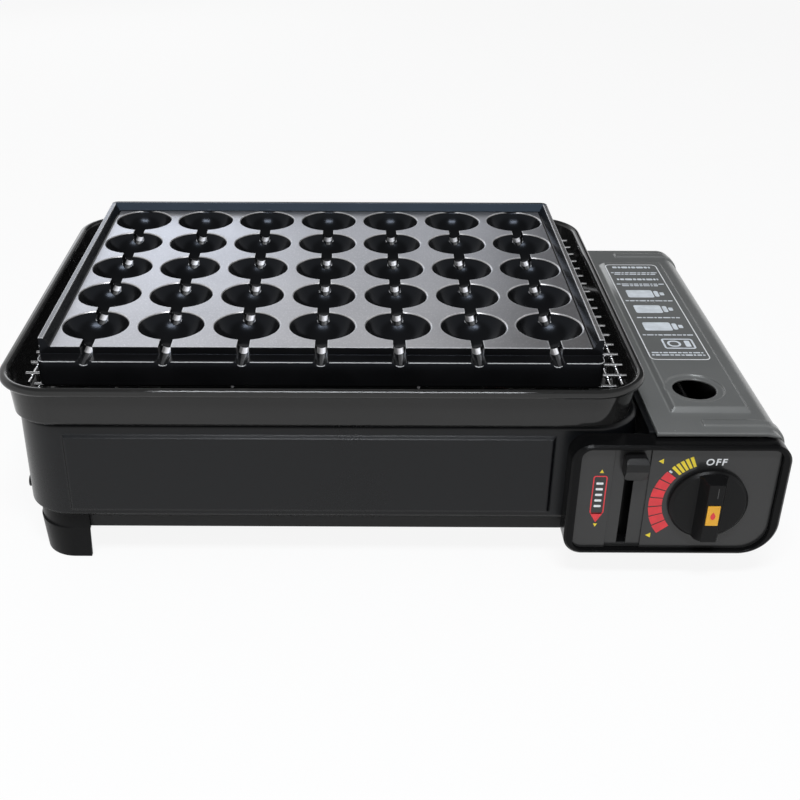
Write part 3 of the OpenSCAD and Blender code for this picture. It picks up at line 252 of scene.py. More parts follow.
class Shader(Web):
    """Node tree of one material."""

    def __init__(self, name: str) -> None:
        """Starts an empty material.

        Args:
            name: name of the material.
        """
        self.material = bpy.data.materials.new(name)
        super().__init__(self.material, "ShaderNodeOutputMaterial")

    def place(self, stretch: Sequence[float] = (1.0, 1.0, 1.0)) -> Sock:
        """Object coordinates, stretched per axis."""
        at = self.node("ShaderNodeTexCoord", out="Object")
        return self.node("ShaderNodeMapping", {"vector_type": "POINT"}, {"Vector": at, "Scale": stretch})

    def spot(self) -> Spot:
        """Object coordinates, axis by axis."""
        at = self.node("ShaderNodeTexCoord", out="Object")
        return Spot(*(self.axis(at, name) for name in "XYZ"))

    def noise(
        self, size: float, detail: float = 2.0, stretch: Sequence[float] = (1.0, 1.0, 1.0)
    ) -> Sock:
        """Noise with features of a size in metres."""
        at = self.place(stretch)
        inputs = {"Vector": at, "Scale": 1.0 / size, "Detail": detail, "Roughness": 0.55}
        return self.node("ShaderNodeTexNoise", {"noise_dimensions": "3D"}, inputs)

    def cells(self, size: float, out: str = "Distance") -> Sock:
        """Voronoi cells of a size in metres."""
        return self.node("ShaderNodeTexVoronoi", {}, {"Vector": self.place(), "Scale": 1.0 / size}, out)

    def tint(self, share: Value, first: Value, second: Value) -> Sock:
        """Mix of two colours.

        Args:
            share: share of the second colour.
            first: first colour.
            second: second colour.

        Returns:
            The mixed colour.
        """
        full = [(*c, 1.0) if not isinstance(c, Sock) and len(c) == 3 else c for c in (first, second)]
        settings = {"data_type": "RGBA", "clamp_factor": True}
        return self.node("ShaderNodeMix", settings, {0: share, 6: full[0], 7: full[1]}, 2)

    def rounded(self, radius: float) -> Sock:
        """Normal that rounds the edges off by a radius in metres."""
        return self.node("ShaderNodeBevel", {"samples": 6}, {"Radius": radius})

    def edge_wear_and_highlight(self, normal: Sock) -> Sock:
        """Mask of the edges, from a normal that rounds them."""
        flat = self.node("ShaderNodeNewGeometry", out="True Normal")
        settings = {"operation": "DOT_PRODUCT"}
        alike = self.node("ShaderNodeVectorMath", settings, {0: normal, 1: flat}, "Value")
        return (1.0 - alike).ramp(0.004, 0.06)

    def relief(self, height: Sock, depth: float, normal: Sock) -> Sock:
        """Bump of a depth in metres over a normal."""
        inputs = {"Strength": 1.0, "Distance": depth, "Height": height, "Normal": normal}
        return self.node("ShaderNodeBump", {}, inputs)

    def surface(self, **sockets: Value) -> bpy.types.Material:
        """Ends the tree in a Principled shader.

        Args:
            sockets: values and links, with underscores for the blanks in the socket names.

        Returns:
            The material.
        """
        inputs = {}
        for key, value in sockets.items():
            color = isinstance(value, (tuple, list)) and len(value) == 3
            inputs[key.replace("_", " ")] = (*value, 1.0) if color else value
        self.end(self.node("ShaderNodeBsdfPrincipled", {}, inputs))
        return self.material


@dataclass(frozen=True)
class Finish:
    """A surface as its maker leaves it, with its grain, its uneven tone and its edges lightened as wear
    and painted highlight.
    """

    name: str
    color: Color
    roughness: float
    texture: Texture
    metallic: float = 0.0
    coat: float = 0.0
    coat_roughness: float = 0.12
    edge_mm: float = 0.5
    shine: float = 0.5
    # Uneven colour: how much, and over what length
    tone: float = 0.06
    tone_mm: float = 90.0
    # Uneven gloss: its share over that length, and fine specks
    uneven: float = 0.06
    speckle: float = 0.02
    fine_mm: float = 3.0
    # Edges lightened as wear and painted highlight: share and colour
    wear_highlight: float = 0.0
    wear_highlight_color: Color = (0.3, 0.3, 0.3)

    def grain(self, shader: Shader) -> Sock:
        """Height of the finish's relief, from about 0 to 1."""
        grain = self.texture.value
        height = shader.noise(grain.size_mm * MM, grain.detail, grain.stretch)
        if grain.cell_mm > 0.0:
            height = shader.cells(grain.cell_mm * MM) + height
        return height

    def material(self) -> bpy.types.Material:
        """Material of the finish."""
        shader = Shader(self.name)
        broad = shader.noise(self.tone_mm * MM, 3.0)
        fine = shader.noise(self.fine_mm * MM, 4.0)
        edge = shader.rounded(self.edge_mm * MM)
        dark = tuple(c * (1.0 - self.tone) for c in self.color)
        light = tuple(min(1.0, c * (1.0 + self.tone)) for c in self.color)
        base = shader.tint(broad.ramp(*MIDTONES), dark, light)
        if self.wear_highlight > 0.0:
            # Wear and painted highlight: edges lightened towards the edge colour
            wear_and_highlight = shader.edge_wear_and_highlight(edge) * fine.ramp(0.35, 0.6) * self.wear_highlight
            base = shader.tint(wear_and_highlight, base, self.wear_highlight_color)
        smooth = self.roughness * (1.0 - self.uneven)
        dull = self.roughness * (1.0 + self.uneven)
        return shader.surface(
            Base_Color=base,
            Roughness=broad.ramp(0.2, 0.8, smooth, dull) + (fine - 0.5) * self.speckle,
            Metallic=self.metallic,
            Specular_IOR_Level=self.shine,
            Coat_Weight=self.coat,
            Coat_Roughness=self.coat_roughness,
            Normal=shader.relief(self.grain(shader), self.texture.value.depth_mm * MM, edge),
        )


@dataclass(frozen=True)
class GroundCast(Finish):
    """Black-coated casting, ground bright on its deck, with edges lightened as wear and painted highlight,
    painted highlights on its groove floors and a painted reflection on its back rim.
    """

    # Heights of the deck, of the rim's top and of the front ledge, and depth of a groove
    deck: float = 142.8 * MM
    rim: float = 148.3 * MM
    ledge: float = 137.8 * MM
    groove: float = 7.5 * MM
    # Grid of the wells: its pitch, one column, the first row and the last row
    pitch: float = 46.0 * MM
    column: float = 4.0 * MM
    row: float = -81.3 * MM
    last_row: float = 102.7 * MM
    # Step behind the ledge, and the plate's front face
    step: float = -111.3 * MM
    face: float = -121.3 * MM
    # Middle of the plate, and the foot of its rim at the sides and at the back
    middle: float = -42.0 * MM
    foot_x: float = 160.0 * MM
    foot_y: float = 123.7 * MM
    # Half the height that counts as one level, and as the floor of a groove
    level_half: float = 0.45 * MM
    floor_half: float = 0.8 * MM
    floor_rise: float = 0.5 * MM
    # Reach of the hollow corners at the foot of the rim and of the step
    rim_hollow: float = 0.9 * MM
    step_hollow: float = 1.2 * MM
    # Land between two wells: its middle past a row, half its length and half the width that skewers rub
    land: float = 26.0 * MM
    land_half: float = 3.6 * MM
    skewer_half: float = 2.4 * MM
    # Side of a groove's mouth, from the groove's middle, and half the width of that side
    mouth: float = 3.6 * MM
    mouth_half: float = 1.0 * MM
    # Middle of the back rim's inner face, past the rim's foot, and half its depth, where a reflection is
    # painted
    lean: float = 1.4 * MM
    lean_half: float = 1.6 * MM
    # Sizes of the streaks, of the glints and of the uneven places of the metal, the coat and the gloss
    streak_size: float = 0.7 * MM
    glint_size: float = 0.5 * MM
    metal_size: float = 90.0 * MM
    coat_size: float = 30.0 * MM
    gloss_size: float = 18.0 * MM
    # Shares of wear on the rim, of dim metal, of streaks and of glints, and how pale the coat gets
    rim_wear: float = 0.4
    dim: float = 0.86
    streak: float = 0.2
    glint: float = 0.45
    pale: float = 1.4
    # Colours of the bare metal, of its bright grit and painted glints, of the coat's gloss and of the
    # painted bluish reflection on the back rim
    bare: Color = (0.46, 0.445, 0.44)
    grit_and_glint: Color = (0.72, 0.7, 0.69)
    sky: Color = (0.74, 0.83, 1.0)
    rim_reflection: Color = (0.034, 0.046, 0.062)

    def level(self, spot: Spot, height: float) -> Sock:
        """Mask of the faces at one height."""
        return spot.z.off(height).below(self.level_half, 0.25 * MM)

    def floor(self, spot: Spot) -> Sock:
        """Mask of the floors of the grooves, by their height."""
        return spot.z.off(self.deck - self.groove + self.floor_rise).below(self.floor_half, 0.5 * MM)

    def across(self, spot: Spot) -> Sock:
        """Distance from the middle of the nearest groove."""
        return spot.x.fold(self.pitch, self.column - self.pitch / 2).off(self.pitch / 2)

    def rim_top(self, spot: Spot) -> Sock:
        """Mask of the tops of the side rims. The back rim keeps its coat."""
        return self.level(spot, self.rim) * spot.y.below(self.foot_y, 1.0 * MM)

    def rim_foot(self, spot: Spot) -> Sock:
        """Mask of the hollow corner at the foot of the rim, which no grinding reaches."""
        near = (self.rim_hollow, 0.6 * MM)
        sides = spot.x.off(self.middle).off(self.foot_x).below(*near)
        back = spot.y.off(self.foot_y).below(*near)
        return (sides + back).ramp(0.0, 1.0) * spot.z.off(self.deck).below(*near)

    def groove_end_highlight(self, spot: Spot) -> Sock:
        """Mask of painted highlights on the groove floors behind and in front of the wells, coloured as
        bare metal.
        """
        # Painted highlight: bright patches on the groove floors at each end of the land between wells
        along = spot.y.fold(self.pitch, self.row).off(self.land).below(self.land_half, 0.8 * MM)
        middle = self.across(spot).below(self.skewer_half, 0.6 * MM)
        inside = spot.y.below(self.last_row, 1.0 * MM)
        return middle * along * inside * self.floor(spot)

    def edges(self, shader: Shader, spot: Spot, edge: Sock) -> Sock:
        """Mask of the outer edges, lightened as wear and as painted highlight.

        Args:
            shader: tree that takes the nodes.
            spot: object coordinates.
            edge: normal that rounds the edges.

        Returns:
            The mask, without the hollow corners and the sides of the groove mouths.
        """
        near = (self.step_hollow, 0.8 * MM)
        step_foot = spot.y.off(self.step).below(*near) * spot.z.off(self.ledge).below(*near)
        front = spot.y.below(self.step - 1.0 * MM, 1.0 * MM)
        mouth = self.across(spot).off(self.mouth).below(self.mouth_half, 0.5 * MM) * front
        groove_mouth = self.floor(spot) * spot.y.below(self.face + 0.5 * MM, 0.5 * MM)
        heights = self.level(spot, self.deck) + self.level(spot, self.ledge) + self.rim_top(spot)
        kept = (1.0 - step_foot) * (1.0 - self.rim_foot(spot)) * (1.0 - mouth)
        return shader.edge_wear_and_highlight(edge) * (heights + groove_mouth).ramp(0.0, 1.0) * kept * self.wear_highlight

    def metal(self, shader: Shader, lines: Sock, wear_and_highlight: Sock) -> Sock:
        """Colour of the bare metal, with painted glints and painted highlights at the groove ends.

        Args:
            shader: tree that takes the nodes.
            lines: streaks of the grinding.
            wear_and_highlight: mask of the painted highlights at the ends of the grooves.

        Returns:
            The colour.
        """
        dim = tuple(c * self.dim for c in self.bare)
        glint = shader.axis(shader.cells(self.glint_size, "Color"), "X").ramp(0.8, 0.98)
        metal = shader.tint(shader.noise(self.metal_size).ramp(*MIDTONES), dim, self.bare)
        metal = shader.tint(lines.ramp(0.3, 0.75) * self.streak, metal, self.grit_and_glint)
        metal = shader.tint(glint * self.glint, metal, self.grit_and_glint)
        # Painted highlight: the groove ends take the bright metal colour
        return shader.tint(wear_and_highlight, metal, self.grit_and_glint)

    def black(self, shader: Shader, spot: Spot) -> Sock:
        """Colour of the black coat, with a painted bluish reflection on the inner face of the back rim."""
        pale = tuple(c * self.pale for c in self.color)
        coat = shader.tint(shader.noise(self.coat_size).ramp(*MIDTONES), self.color, pale)
        # Painted reflection: a bluish band on the back rim's inner face, above the deck
        reflection_band = spot.y.off(self.foot_y + self.lean).below(self.lean_half, 0.6 * MM)
        above = spot.z.ramp(self.deck, self.deck + 0.6 * MM)
        return shader.tint(reflection_band * above, coat, self.rim_reflection)

    def material(self) -> bpy.types.Material:
        """Material of the casting."""
        shader = Shader(self.name)
        spot = shader.spot()
        up = shader.axis(shader.node("ShaderNodeNewGeometry", out="True Normal"), "Z")
        deck = self.level(spot, self.deck) * (1.0 - self.rim_foot(spot))
        flat = (deck + self.rim_top(spot) * self.rim_wear) * up.ramp(0.25, 0.45)
        # Painted highlight: the groove ends join the ground deck, so they are bright and metallic
        wear_and_highlight = self.groove_end_highlight(spot)
        ground_and_highlight = flat + wear_and_highlight
        lines = shader.noise(self.streak_size, 4.0, (0.05, 1.0, 1.0))
        edge = shader.rounded(self.edge_mm * MM)
        # Wear and painted highlight: near-white lines along the outer edges
        edge_wear_and_highlight = self.edges(shader, spot, edge)
        tone = shader.tint(ground_and_highlight, self.black(shader, spot), self.metal(shader, lines, wear_and_highlight))
        gloss = shader.noise(self.gloss_size).ramp(*MIDTONES, self.roughness * 0.9, self.roughness * 1.1)
        height = shader.noise(1.2 * MM, 3.0) * (1.0 - ground_and_highlight) + lines * ground_and_highlight * 0.7
        return shader.surface(
            Base_Color=shader.tint(edge_wear_and_highlight, tone, self.wear_highlight_color),
            Roughness=gloss * (1.0 - ground_and_highlight) + lines.ramp(0.2, 0.8, 0.28, 0.4) * ground_and_highlight,
            Metallic=ground_and_highlight * (1.0 - edge_wear_and_highlight) * 0.9,
            Specular_IOR_Level=self.shine,
            Specular_Tint=self.sky,
            Normal=shader.relief(height, 0.01 * MM, edge),
        )


FINISHES: Dict[Slot, Finish] = {
    Slot.CAST_PLATE: GroundCast(
        "coated_casting", (0.0045, 0.0046, 0.005), 0.2, Texture.CAST,
        edge_mm=0.8, shine=0.12, wear_highlight=1.0, wear_highlight_color=(0.74, 0.74, 0.75),
    ),
    Slot.CHROME_WIRE: Finish("chrome_wire", (0.66, 0.66, 0.67), 0.14, Texture.SMOOTH, metallic=1.0),
    Slot.BLACK_ENAMEL: Finish(
        "black_enamel", (0.017, 0.0168, 0.0164), 0.06, Texture.ORANGE_PEEL, edge_mm=1.2, shine=0.36
    ),
    Slot.BODY_PAINT: Finish(
        "body_paint", (0.0045, 0.005, 0.006), 0.28, Texture.ORANGE_PEEL, edge_mm=1.8, shine=0.28
    ),
    Slot.PAN_STEEL: Finish("pan_paint", (0.02, 0.02, 0.02), 0.4, Texture.ROLLED, edge_mm=0.8, shine=0.18),
    Slot.FOOT_PLASTIC: Finish(
        "foot_plastic", (0.006, 0.006, 0.0063), 0.36, Texture.MOULDED, edge_mm=1.2, shine=0.09
    ),
    Slot.FOOT_RUBBER: Finish(
        "foot_rubber", (0.02, 0.02, 0.02), 0.7, Texture.MOULDED, edge_mm=0.8, shine=0.3
    ),
    Slot.COVER_PAINT: Finish(
        "cover_paint", (0.198, 0.202, 0.198), 0.26, Texture.ORANGE_PEEL,
        metallic=0.3, edge_mm=1.6, shine=0.4,
    ),
    Slot.PLATED_STEEL: Finish(
        "zinc_plate", (0.74, 0.71, 0.63), 0.35, Texture.ROLLED, metallic=0.35, tone=0.1
    ),
    Slot.BEZEL_PLASTIC: Finish(
        "bezel_plastic", (0.004, 0.004, 0.0042), 0.2, Texture.MOULDED, edge_mm=1.0, shine=0.1
    ),
    Slot.FACE_PLASTIC: Finish(
        "face_panel", (0.02, 0.02, 0.02), 0.2, Texture.ORANGE_PEEL, edge_mm=0.4, shine=0.5
    ),
    Slot.KNOB_PLASTIC: Finish(
        "knob_plastic", (0.005, 0.005, 0.0052), 0.32, Texture.MOULDED, edge_mm=0.8, shine=0.15
    ),
    Slot.INSERT_PLASTIC: Finish("insert_plastic", (0.8, 0.4, 0.02), 0.4, Texture.MOULDED),
    Slot.LEVER_PLASTIC: Finish(
        "lever_plastic", (0.009, 0.009, 0.0092), 0.3, Texture.MOULDED, edge_mm=0.8, shine=0.25
    ),
    Slot.BRASS: Finish("brass", (0.7, 0.5, 0.19), 0.24, Texture.ROLLED, metallic=1.0),
    Slot.DIE_CAST: Finish("die_cast", (0.5, 0.5, 0.5), 0.45, Texture.CAST, metallic=0.9),
    Slot.BURNER_STEEL: Finish(
        "burner_steel", (0.4, 0.385, 0.365), 0.4, Texture.ROLLED, metallic=0.95, tone=0.2, tone_mm=25.0
    ),
    Slot.IGNITER_PLASTIC: Finish("igniter_plastic", (0.72, 0.7, 0.64), 0.4, Texture.MOULDED),
    Slot.LEAD_SLEEVE: Finish("lead_sleeve", (0.42, 0.04, 0.03), 0.55, Texture.SMOOTH),
    Slot.CERAMIC: Finish("glazed_ceramic", (0.84, 0.82, 0.76), 0.18, Texture.SMOOTH, coat=0.4, tone=0.04),
}


def thin_ink(
    name: str, color: Color, tone: float = 0.06, tone_mm: float = 6.0, dull: float = 0.45
) -> Finish:
    """Finish of an ink.

    Args:
        name: name of the ink.
        color: its colour.
        tone: how uneven the colour is.
        tone_mm: size of its uneven places.
        dull: its roughness.

    Returns:
        The finish.
    """
    return Finish(name, color, dull, Texture.MOULDED, edge_mm=0.05, tone=tone, tone_mm=tone_mm)


WHITE_INK = thin_ink("white_ink", (0.8, 0.81, 0.82))
GREY_INK = thin_ink("grey_ink", (0.05, 0.05, 0.05), tone_mm=90.0, dull=0.5)
PALE_INK = thin_ink("pale_ink", (0.66, 0.7, 0.74), tone=0.1)
YELLOW_INK = thin_ink("yellow_ink", (0.8, 0.62, 0.03))
RED_INK = thin_ink("red_ink", (0.72, 0.035, 0.045), tone=0.08)


class Bench:
    """Modelling operators on one piece at a time, each as thick as a print and flat on the bench."""

    @staticmethod
    def idle() -> None:
        """Leaves edit mode with nothing selected."""
        if bpy.context.object is not None and bpy.context.object.mode != "OBJECT":
            bpy.ops.object.mode_set(mode="OBJECT")
        bpy.ops.object.select_all(action="DESELECT")

    @staticmethod
    def edit() -> None:
        """Enters edit mode with everything selected."""
        bpy.ops.object.mode_set(mode="EDIT")
        bpy.ops.mesh.select_all(action="SELECT")

    @staticmethod
    def outwards() -> bpy.types.Object:
        """Turns the faces of the piece outwards and leaves edit mode."""
        bpy.ops.mesh.select_all(action="SELECT")
        bpy.ops.mesh.normals_make_consistent(inside=False)
        bpy.ops.object.mode_set(mode="OBJECT")
        return bpy.context.object

    @classmethod
    def thicken(cls) -> bpy.types.Object:
        """Extrudes the flat piece upwards by the thickness of a print."""
        bpy.ops.mesh.extrude_region_move(TRANSFORM_OT_translate={"value": (0.0, 0.0, INK)})
        return cls.outwards()

    @classmethod
    def plate(cls, width: float, length: float, corner: float, segments: int) -> None:
        """Starts a flat rectangle with round corners, in edit mode.

        Args:
            width: size across.
            length: size along.
            corner: radius of its corners.
            segments: steps in a corner.
        """
        cls.idle()
        bpy.ops.mesh.primitive_plane_add(size=1.0)
        cls.edit()
        bpy.ops.transform.resize(value=(width, length, 1.0))
        bpy.ops.mesh.bevel(offset=corner, segments=segments, affect="VERTICES")

    @classmethod
    def bar(cls, width: float, length: float, corner: float) -> bpy.types.Object:
        """A flat bar with round corners.

        Args:
            width: size across.
            length: size along.
            corner: radius of its corners.

        Returns:
            The bar, with its middle at the origin.
        """
        cls.plate(width, length, corner, 4)
        return cls.thicken()

    @classmethod
    def outline(cls, width: float, length: float, corner: float, line: float) -> bpy.types.Object:
        """A flat frame with round corners.

        Args:
            width: size across.
            length: size along.
            corner: radius of its corners.
            line: width of the line.

        Returns:
            The frame, with its middle at the origin.
        """
        cls.plate(width, length, corner, 6)
        bpy.ops.mesh.select_all(action="SELECT")
        bpy.ops.mesh.inset(thickness=line)
        bpy.ops.mesh.delete(type="FACE")
        bpy.ops.mesh.select_all(action="SELECT")
        return cls.thicken()

    @classmethod
    def point(cls, radius: float, turn: float) -> bpy.types.Object:
        """A flat triangle with blunt corners.

        Args:
            radius: distance of its corners from its middle.
            turn: direction of its tip, counter-clockwise from the right, in degrees.

        Returns:
            The triangle, with its middle at the origin.
        """
        cls.idle()
        bpy.ops.mesh.primitive_circle_add(vertices=3, radius=radius, fill_type="NGON")
        cls.turn(bpy.context.object, -90.0)
        cls.edit()
        bpy.ops.mesh.bevel(offset=radius * 0.08, segments=2, affect="VERTICES")
        return cls.turn(cls.thicken(), turn)

    @staticmethod
    def turn(piece: bpy.types.Object, angle: float) -> bpy.types.Object:
        """Turns the active piece counter-clockwise, in degrees, the turn kept in its mesh."""
        piece.rotation_euler = (0.0, 0.0, math.radians(angle))
        bpy.ops.object.transform_apply(location=False, rotation=True, scale=False)
        return piece

    @classmethod
    def sector(cls, inner: float, outer: float, start: float, end: float) -> bpy.types.Object:
        """A flat piece of a ring, spun from its end face.

        Args:
            inner: inner radius.
            outer: outer radius.
            start: first angle, counter-clockwise from the right, in degrees.
            end: last angle.

        Returns:
            The piece, round the origin.
        """
        cls.idle()
        bpy.ops.mesh.primitive_plane_add(size=1.0, rotation=(math.radians(90), 0.0, 0.0))
        made = bpy.context.object
        made.scale = (outer - inner, INK, 1.0)
        made.location = ((inner + outer) / 2, 0.0, INK / 2)
        bpy.ops.object.transform_apply(location=True, rotation=True, scale=True)
        cls.edit()
        steps = max(2, round((end - start) / 2.0))
        sweep = math.radians(end - start)
        bpy.ops.mesh.spin(steps=steps, angle=sweep, center=(0, 0, 0), axis=(0, 0, 1))
        bpy.ops.mesh.select_all(action="SELECT")
        bpy.ops.mesh.remove_doubles(threshold=1e-7)
        cls.outwards()
        first = min(math.atan2(v.co.y, v.co.x) for v in made.data.vertices)
        return cls.turn(made, start - math.degrees(first))

    @classmethod
    def drop(cls, width: float, length: float) -> bpy.types.Object:
        """A flat drop with its tip upwards.

        Args:
            width: size across.
            length: size along.

        Returns:
            The drop, with its middle at the origin.
        """
        cls.idle()
        bpy.ops.mesh.primitive_circle_add(vertices=20, radius=0.5, fill_type="NGON")
        made = bpy.context.object
        for vertex in made.data.vertices:
            lift = max(0.0, vertex.co.y)
            vertex.co.x *= 1.0 - 1.4 * lift
        cls.edit()
        bpy.ops.transform.resize(value=(width, length, 1.0))
        return cls.thicken()

    @classmethod
    def words(cls, text: str, size: float, slant: float, weight: float, spread: float) -> bpy.types.Object:
        """Flat letters.

        Args:
            text: what they say.
            size: height of the line.
            slant: lean of the letters.
            weight: thickening of the strokes.
            spread: distance of the letters, as a share of the usual one.

        Returns:
            The letters, with their middle at the origin.
        """
        cls.idle()
        bpy.ops.object.text_add()
        made = bpy.context.object
        made.data.body = text
        made.data.size = size
        made.data.shear = slant
        made.data.offset = weight
        made.data.space_character = spread
        made.data.extrude = INK / 2
        made.data.align_x = "CENTER"
        made.data.align_y = "CENTER"
        made.data.resolution_u = 3
        bpy.ops.object.convert(target="MESH")
        made = bpy.context.object
        made.location = (0.0, 0.0, INK / 2)
        bpy.ops.object.transform_apply(location=True, rotation=True, scale=True)
        return made

    @classmethod
    def lift(cls, piece: bpy.types.Object, x: float, y: float) -> bpy.types.Object:
        """Moves a piece on the bench, its place kept in its mesh."""
        cls.idle()
        piece.select_set(True)
        bpy.context.view_layer.objects.active = piece
        piece.location = (x, y, 0.0)
        bpy.ops.object.transform_apply(location=True, rotation=False, scale=False)
        return piece

    @classmethod
    def join(cls, pieces: Sequence[bpy.types.Object]) -> bpy.types.Object:
        """Joins pieces into the first of them."""
        cls.idle()
        for piece in pieces:
            piece.select_set(True)
        bpy.context.view_layer.objects.active = pieces[0]
        if len(pieces) > 1:
            bpy.ops.object.join()
        return bpy.context.object


@dataclass(frozen=True)
class Print:
    """A print on one of the object's flat faces, proud by the thickness of its ink."""

    name: str
    body: str
    slot: Slot
    ink: Finish
    seat: Matrix

    def lay(self, pieces: Sequence[bpy.types.Object]) -> bpy.types.Object:
        """Joins flat pieces, sets them on their face and dresses them.

        Args:
            pieces: flat pieces on the bench.

        Returns:
            The print.
        """
        made = Bench.join(pieces)
        made.name = self.name
        made.data.name = self.name
        made.matrix_world = self.seat
        bpy.ops.object.transform_apply(location=True, rotation=True, scale=True)
        made.data.materials.clear()
        made.data.materials.append(ink_material(self.ink))
        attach(made, self.body)
        LOG.info("print %s: %d faces", self.name, len(made.data.polygons))
        return made


@lru_cache(maxsize=None)
def ink_material(ink: Finish) -> bpy.types.Material:
    """Material of an ink, made once."""
    return ink.material()


def front_seat(x: float, y: float, z: float) -> Matrix:
    """Seat on an upright face that looks to the front, at a place in metres."""
    return Matrix(((1, 0, 0, x), (0, 0, -1, y), (0, 1, 0, z), (0, 0, 0, 1)))


def top_seat(x: float, y: float, z: float) -> Matrix:
    """Seat on a level face, at a place in metres."""
    return Matrix.Translation((x, y, z))


@dataclass(frozen=True)
class Panel:
    """A flat lamp or card that looks at a point, in metres."""

    name: str
    place: Point
    size: Tuple[float, float]
    aim: Point
    watts: float = 0.0

    def set_up(self, made: bpy.types.Object) -> None:
        """Puts a lamp or card in place, out of the camera's sight."""
        made.name = self.name
        made.location = self.place
        look = Vector(self.aim) - Vector(self.place)
        made.rotation_euler = look.to_track_quat("-Z", "Y").to_euler()
        made.visible_camera = False


@dataclass
class Studio:
    """White surroundings, soft lamps and the camera of the photograph."""

    lens_mm: float = 52.07
    sensor_mm: float = 36.0
    shift: float = 0.0625
    clip_m: float = 0.01
    camera_mm: Point = (-22.54, -720.04, 442.33)
    pitch_deg: float = 28.8045
    yaw_deg: float = 0.2322
    roll_deg: float = 0.122
    window: Panel = Panel("window", (-0.05, -0.88, 1.63), (0.75, 0.27), (-0.03, 0.0, 0.12), 24.0)
    back_left: Panel = Panel("back_left", (-0.6, 1.67, 0.6), (0.8, 0.5), (0.1, 0.0, 0.12), 2.2)
    flag: Panel = Panel("flag", (0.95, 1.5, 1.1), (1.5, 1.7), (0.1, 0.0, 0.14))
    daylight: Color = (0.93, 0.96, 1.0)
    white: Tuple[float, ...] = (1.0, 1.0, 1.0, 1.0)
    pale: Tuple[float, ...] = (0.9, 0.9, 0.9, 1.0)
    black: Tuple[float, ...] = (0.02, 0.02, 0.02, 1.0)
    floor_m: float = 12.0
    # Fill on the object, backdrop overhead in reflections, and how white the floor is to the camera
    fill: float = 0.34
    dark_above: float = 0.15
    glow: float = 0.9
    # Heights of the backdrop between which it darkens, from 0 below to 1 above
    dusk: Tuple[float, float] = (0.52, 0.74)

    def build(self) -> None:
        """Makes the world, the floor, the lamps, the card and the camera."""
        self.world()
        self.floor()
        self.lamp(self.window)
        self.lamp(self.back_left)
        self.card(self.flag)
        self.camera()

    def world(self) -> None:
        """White to the camera, darker overhead in reflections, and a plain fill for the rest."""
        world = bpy.data.worlds.new("studio")
        bpy.context.scene.world = world
        web = Web(world, "ShaderNodeOutputWorld")
        seen, mirrored, through = web.rays()
        height = web.axis(web.node("ShaderNodeTexCoord", out="Generated"), "Z")
        backdrop = height.ramp(*self.dusk, 1.0, self.dark_above)
        direct = seen + through
        strength = direct + mirrored * backdrop + (1.0 - direct - mirrored) * self.fill
        web.end(web.node("ShaderNodeBackground", {}, {"Color": self.white, "Strength": strength}))

    def floor(self) -> None:
        """A pale floor that is white to the camera and keeps the soft shadow."""
        Bench.idle()
        bpy.ops.mesh.primitive_plane_add(size=self.floor_m)
        floor = bpy.context.object
        floor.name = "floor"
        shader = Shader("pale_floor")
        diffuse = shader.node("ShaderNodeBsdfDiffuse", {}, {"Color": self.pale})
        glow = shader.node("ShaderNodeEmission", {}, {"Color": self.white, "Strength": 1.0})
        seen, mirrored, through = shader.rays()
        share = (seen + mirrored + through) * self.glow
        shader.end(shader.node("ShaderNodeMixShader", {}, {0: share, 1: diffuse, 2: glow}))
        floor.data.materials.append(shader.material)

    def card(self, panel: Panel) -> None:
        """A black card outside the picture, for dark reflections."""
        Bench.idle()
        bpy.ops.mesh.primitive_plane_add(size=1.0)
        card = bpy.context.object
        card.scale = (*panel.size, 1.0)
        panel.set_up(card)
        shader = Shader("black_card")
        shader.end(shader.node("ShaderNodeBsdfDiffuse", {}, {"Color": self.black}))
        card.data.materials.append(shader.material)

    def lamp(self, panel: Panel) -> None:
        """A soft rectangular lamp."""
        data = bpy.data.lights.new(panel.name, "AREA")
        data.shape = "RECTANGLE"
        data.size, data.size_y = panel.size
        data.energy = panel.watts
        data.color = self.daylight
        lamp = bpy.data.objects.new(panel.name, data)
        bpy.context.scene.collection.objects.link(lamp)
        panel.set_up(lamp)

    def camera(self) -> None:
        """The camera, fitted to the photograph's grid of wells."""
        data = bpy.data.cameras.new("camera")
        data.lens = self.lens_mm
        data.sensor_width = self.sensor_mm
        data.sensor_fit = "HORIZONTAL"
        data.shift_x = self.shift
        data.clip_start = self.clip_m
        camera = bpy.data.objects.new("camera", data)
        bpy.context.scene.collection.objects.link(camera)
        camera.location = [v * MM for v in self.camera_mm]
        turn = Matrix.Rotation(math.radians(self.yaw_deg), 3, "Z")
        tilt = Matrix.Rotation(math.radians(90.0 - self.pitch_deg), 3, "X")
        roll = Matrix.Rotation(math.radians(self.roll_deg), 3, "Z")
        camera.rotation_euler = (turn @ tilt @ roll).to_euler()
        bpy.context.scene.camera = camera


@dataclass
class Dressing:
    """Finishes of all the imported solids, by the slots of the record."""

    finishes: Dict[Slot, Finish]

    def dress(self) -> None:
        """Gives each solid the material of its slot."""
        materials = {slot: finish.material() for slot, finish in self.finishes.items()}
        slots = {row["node"]: Slot(row["material_slot"]) for row in frame["record"]["subparts"]}
        for name, node in frame["nodes"].items():
            node.data.materials.clear()
            node.data.materials.append(materials[slots[name]])
            LOG.info("solid %s: %s", name, slots[name].value)


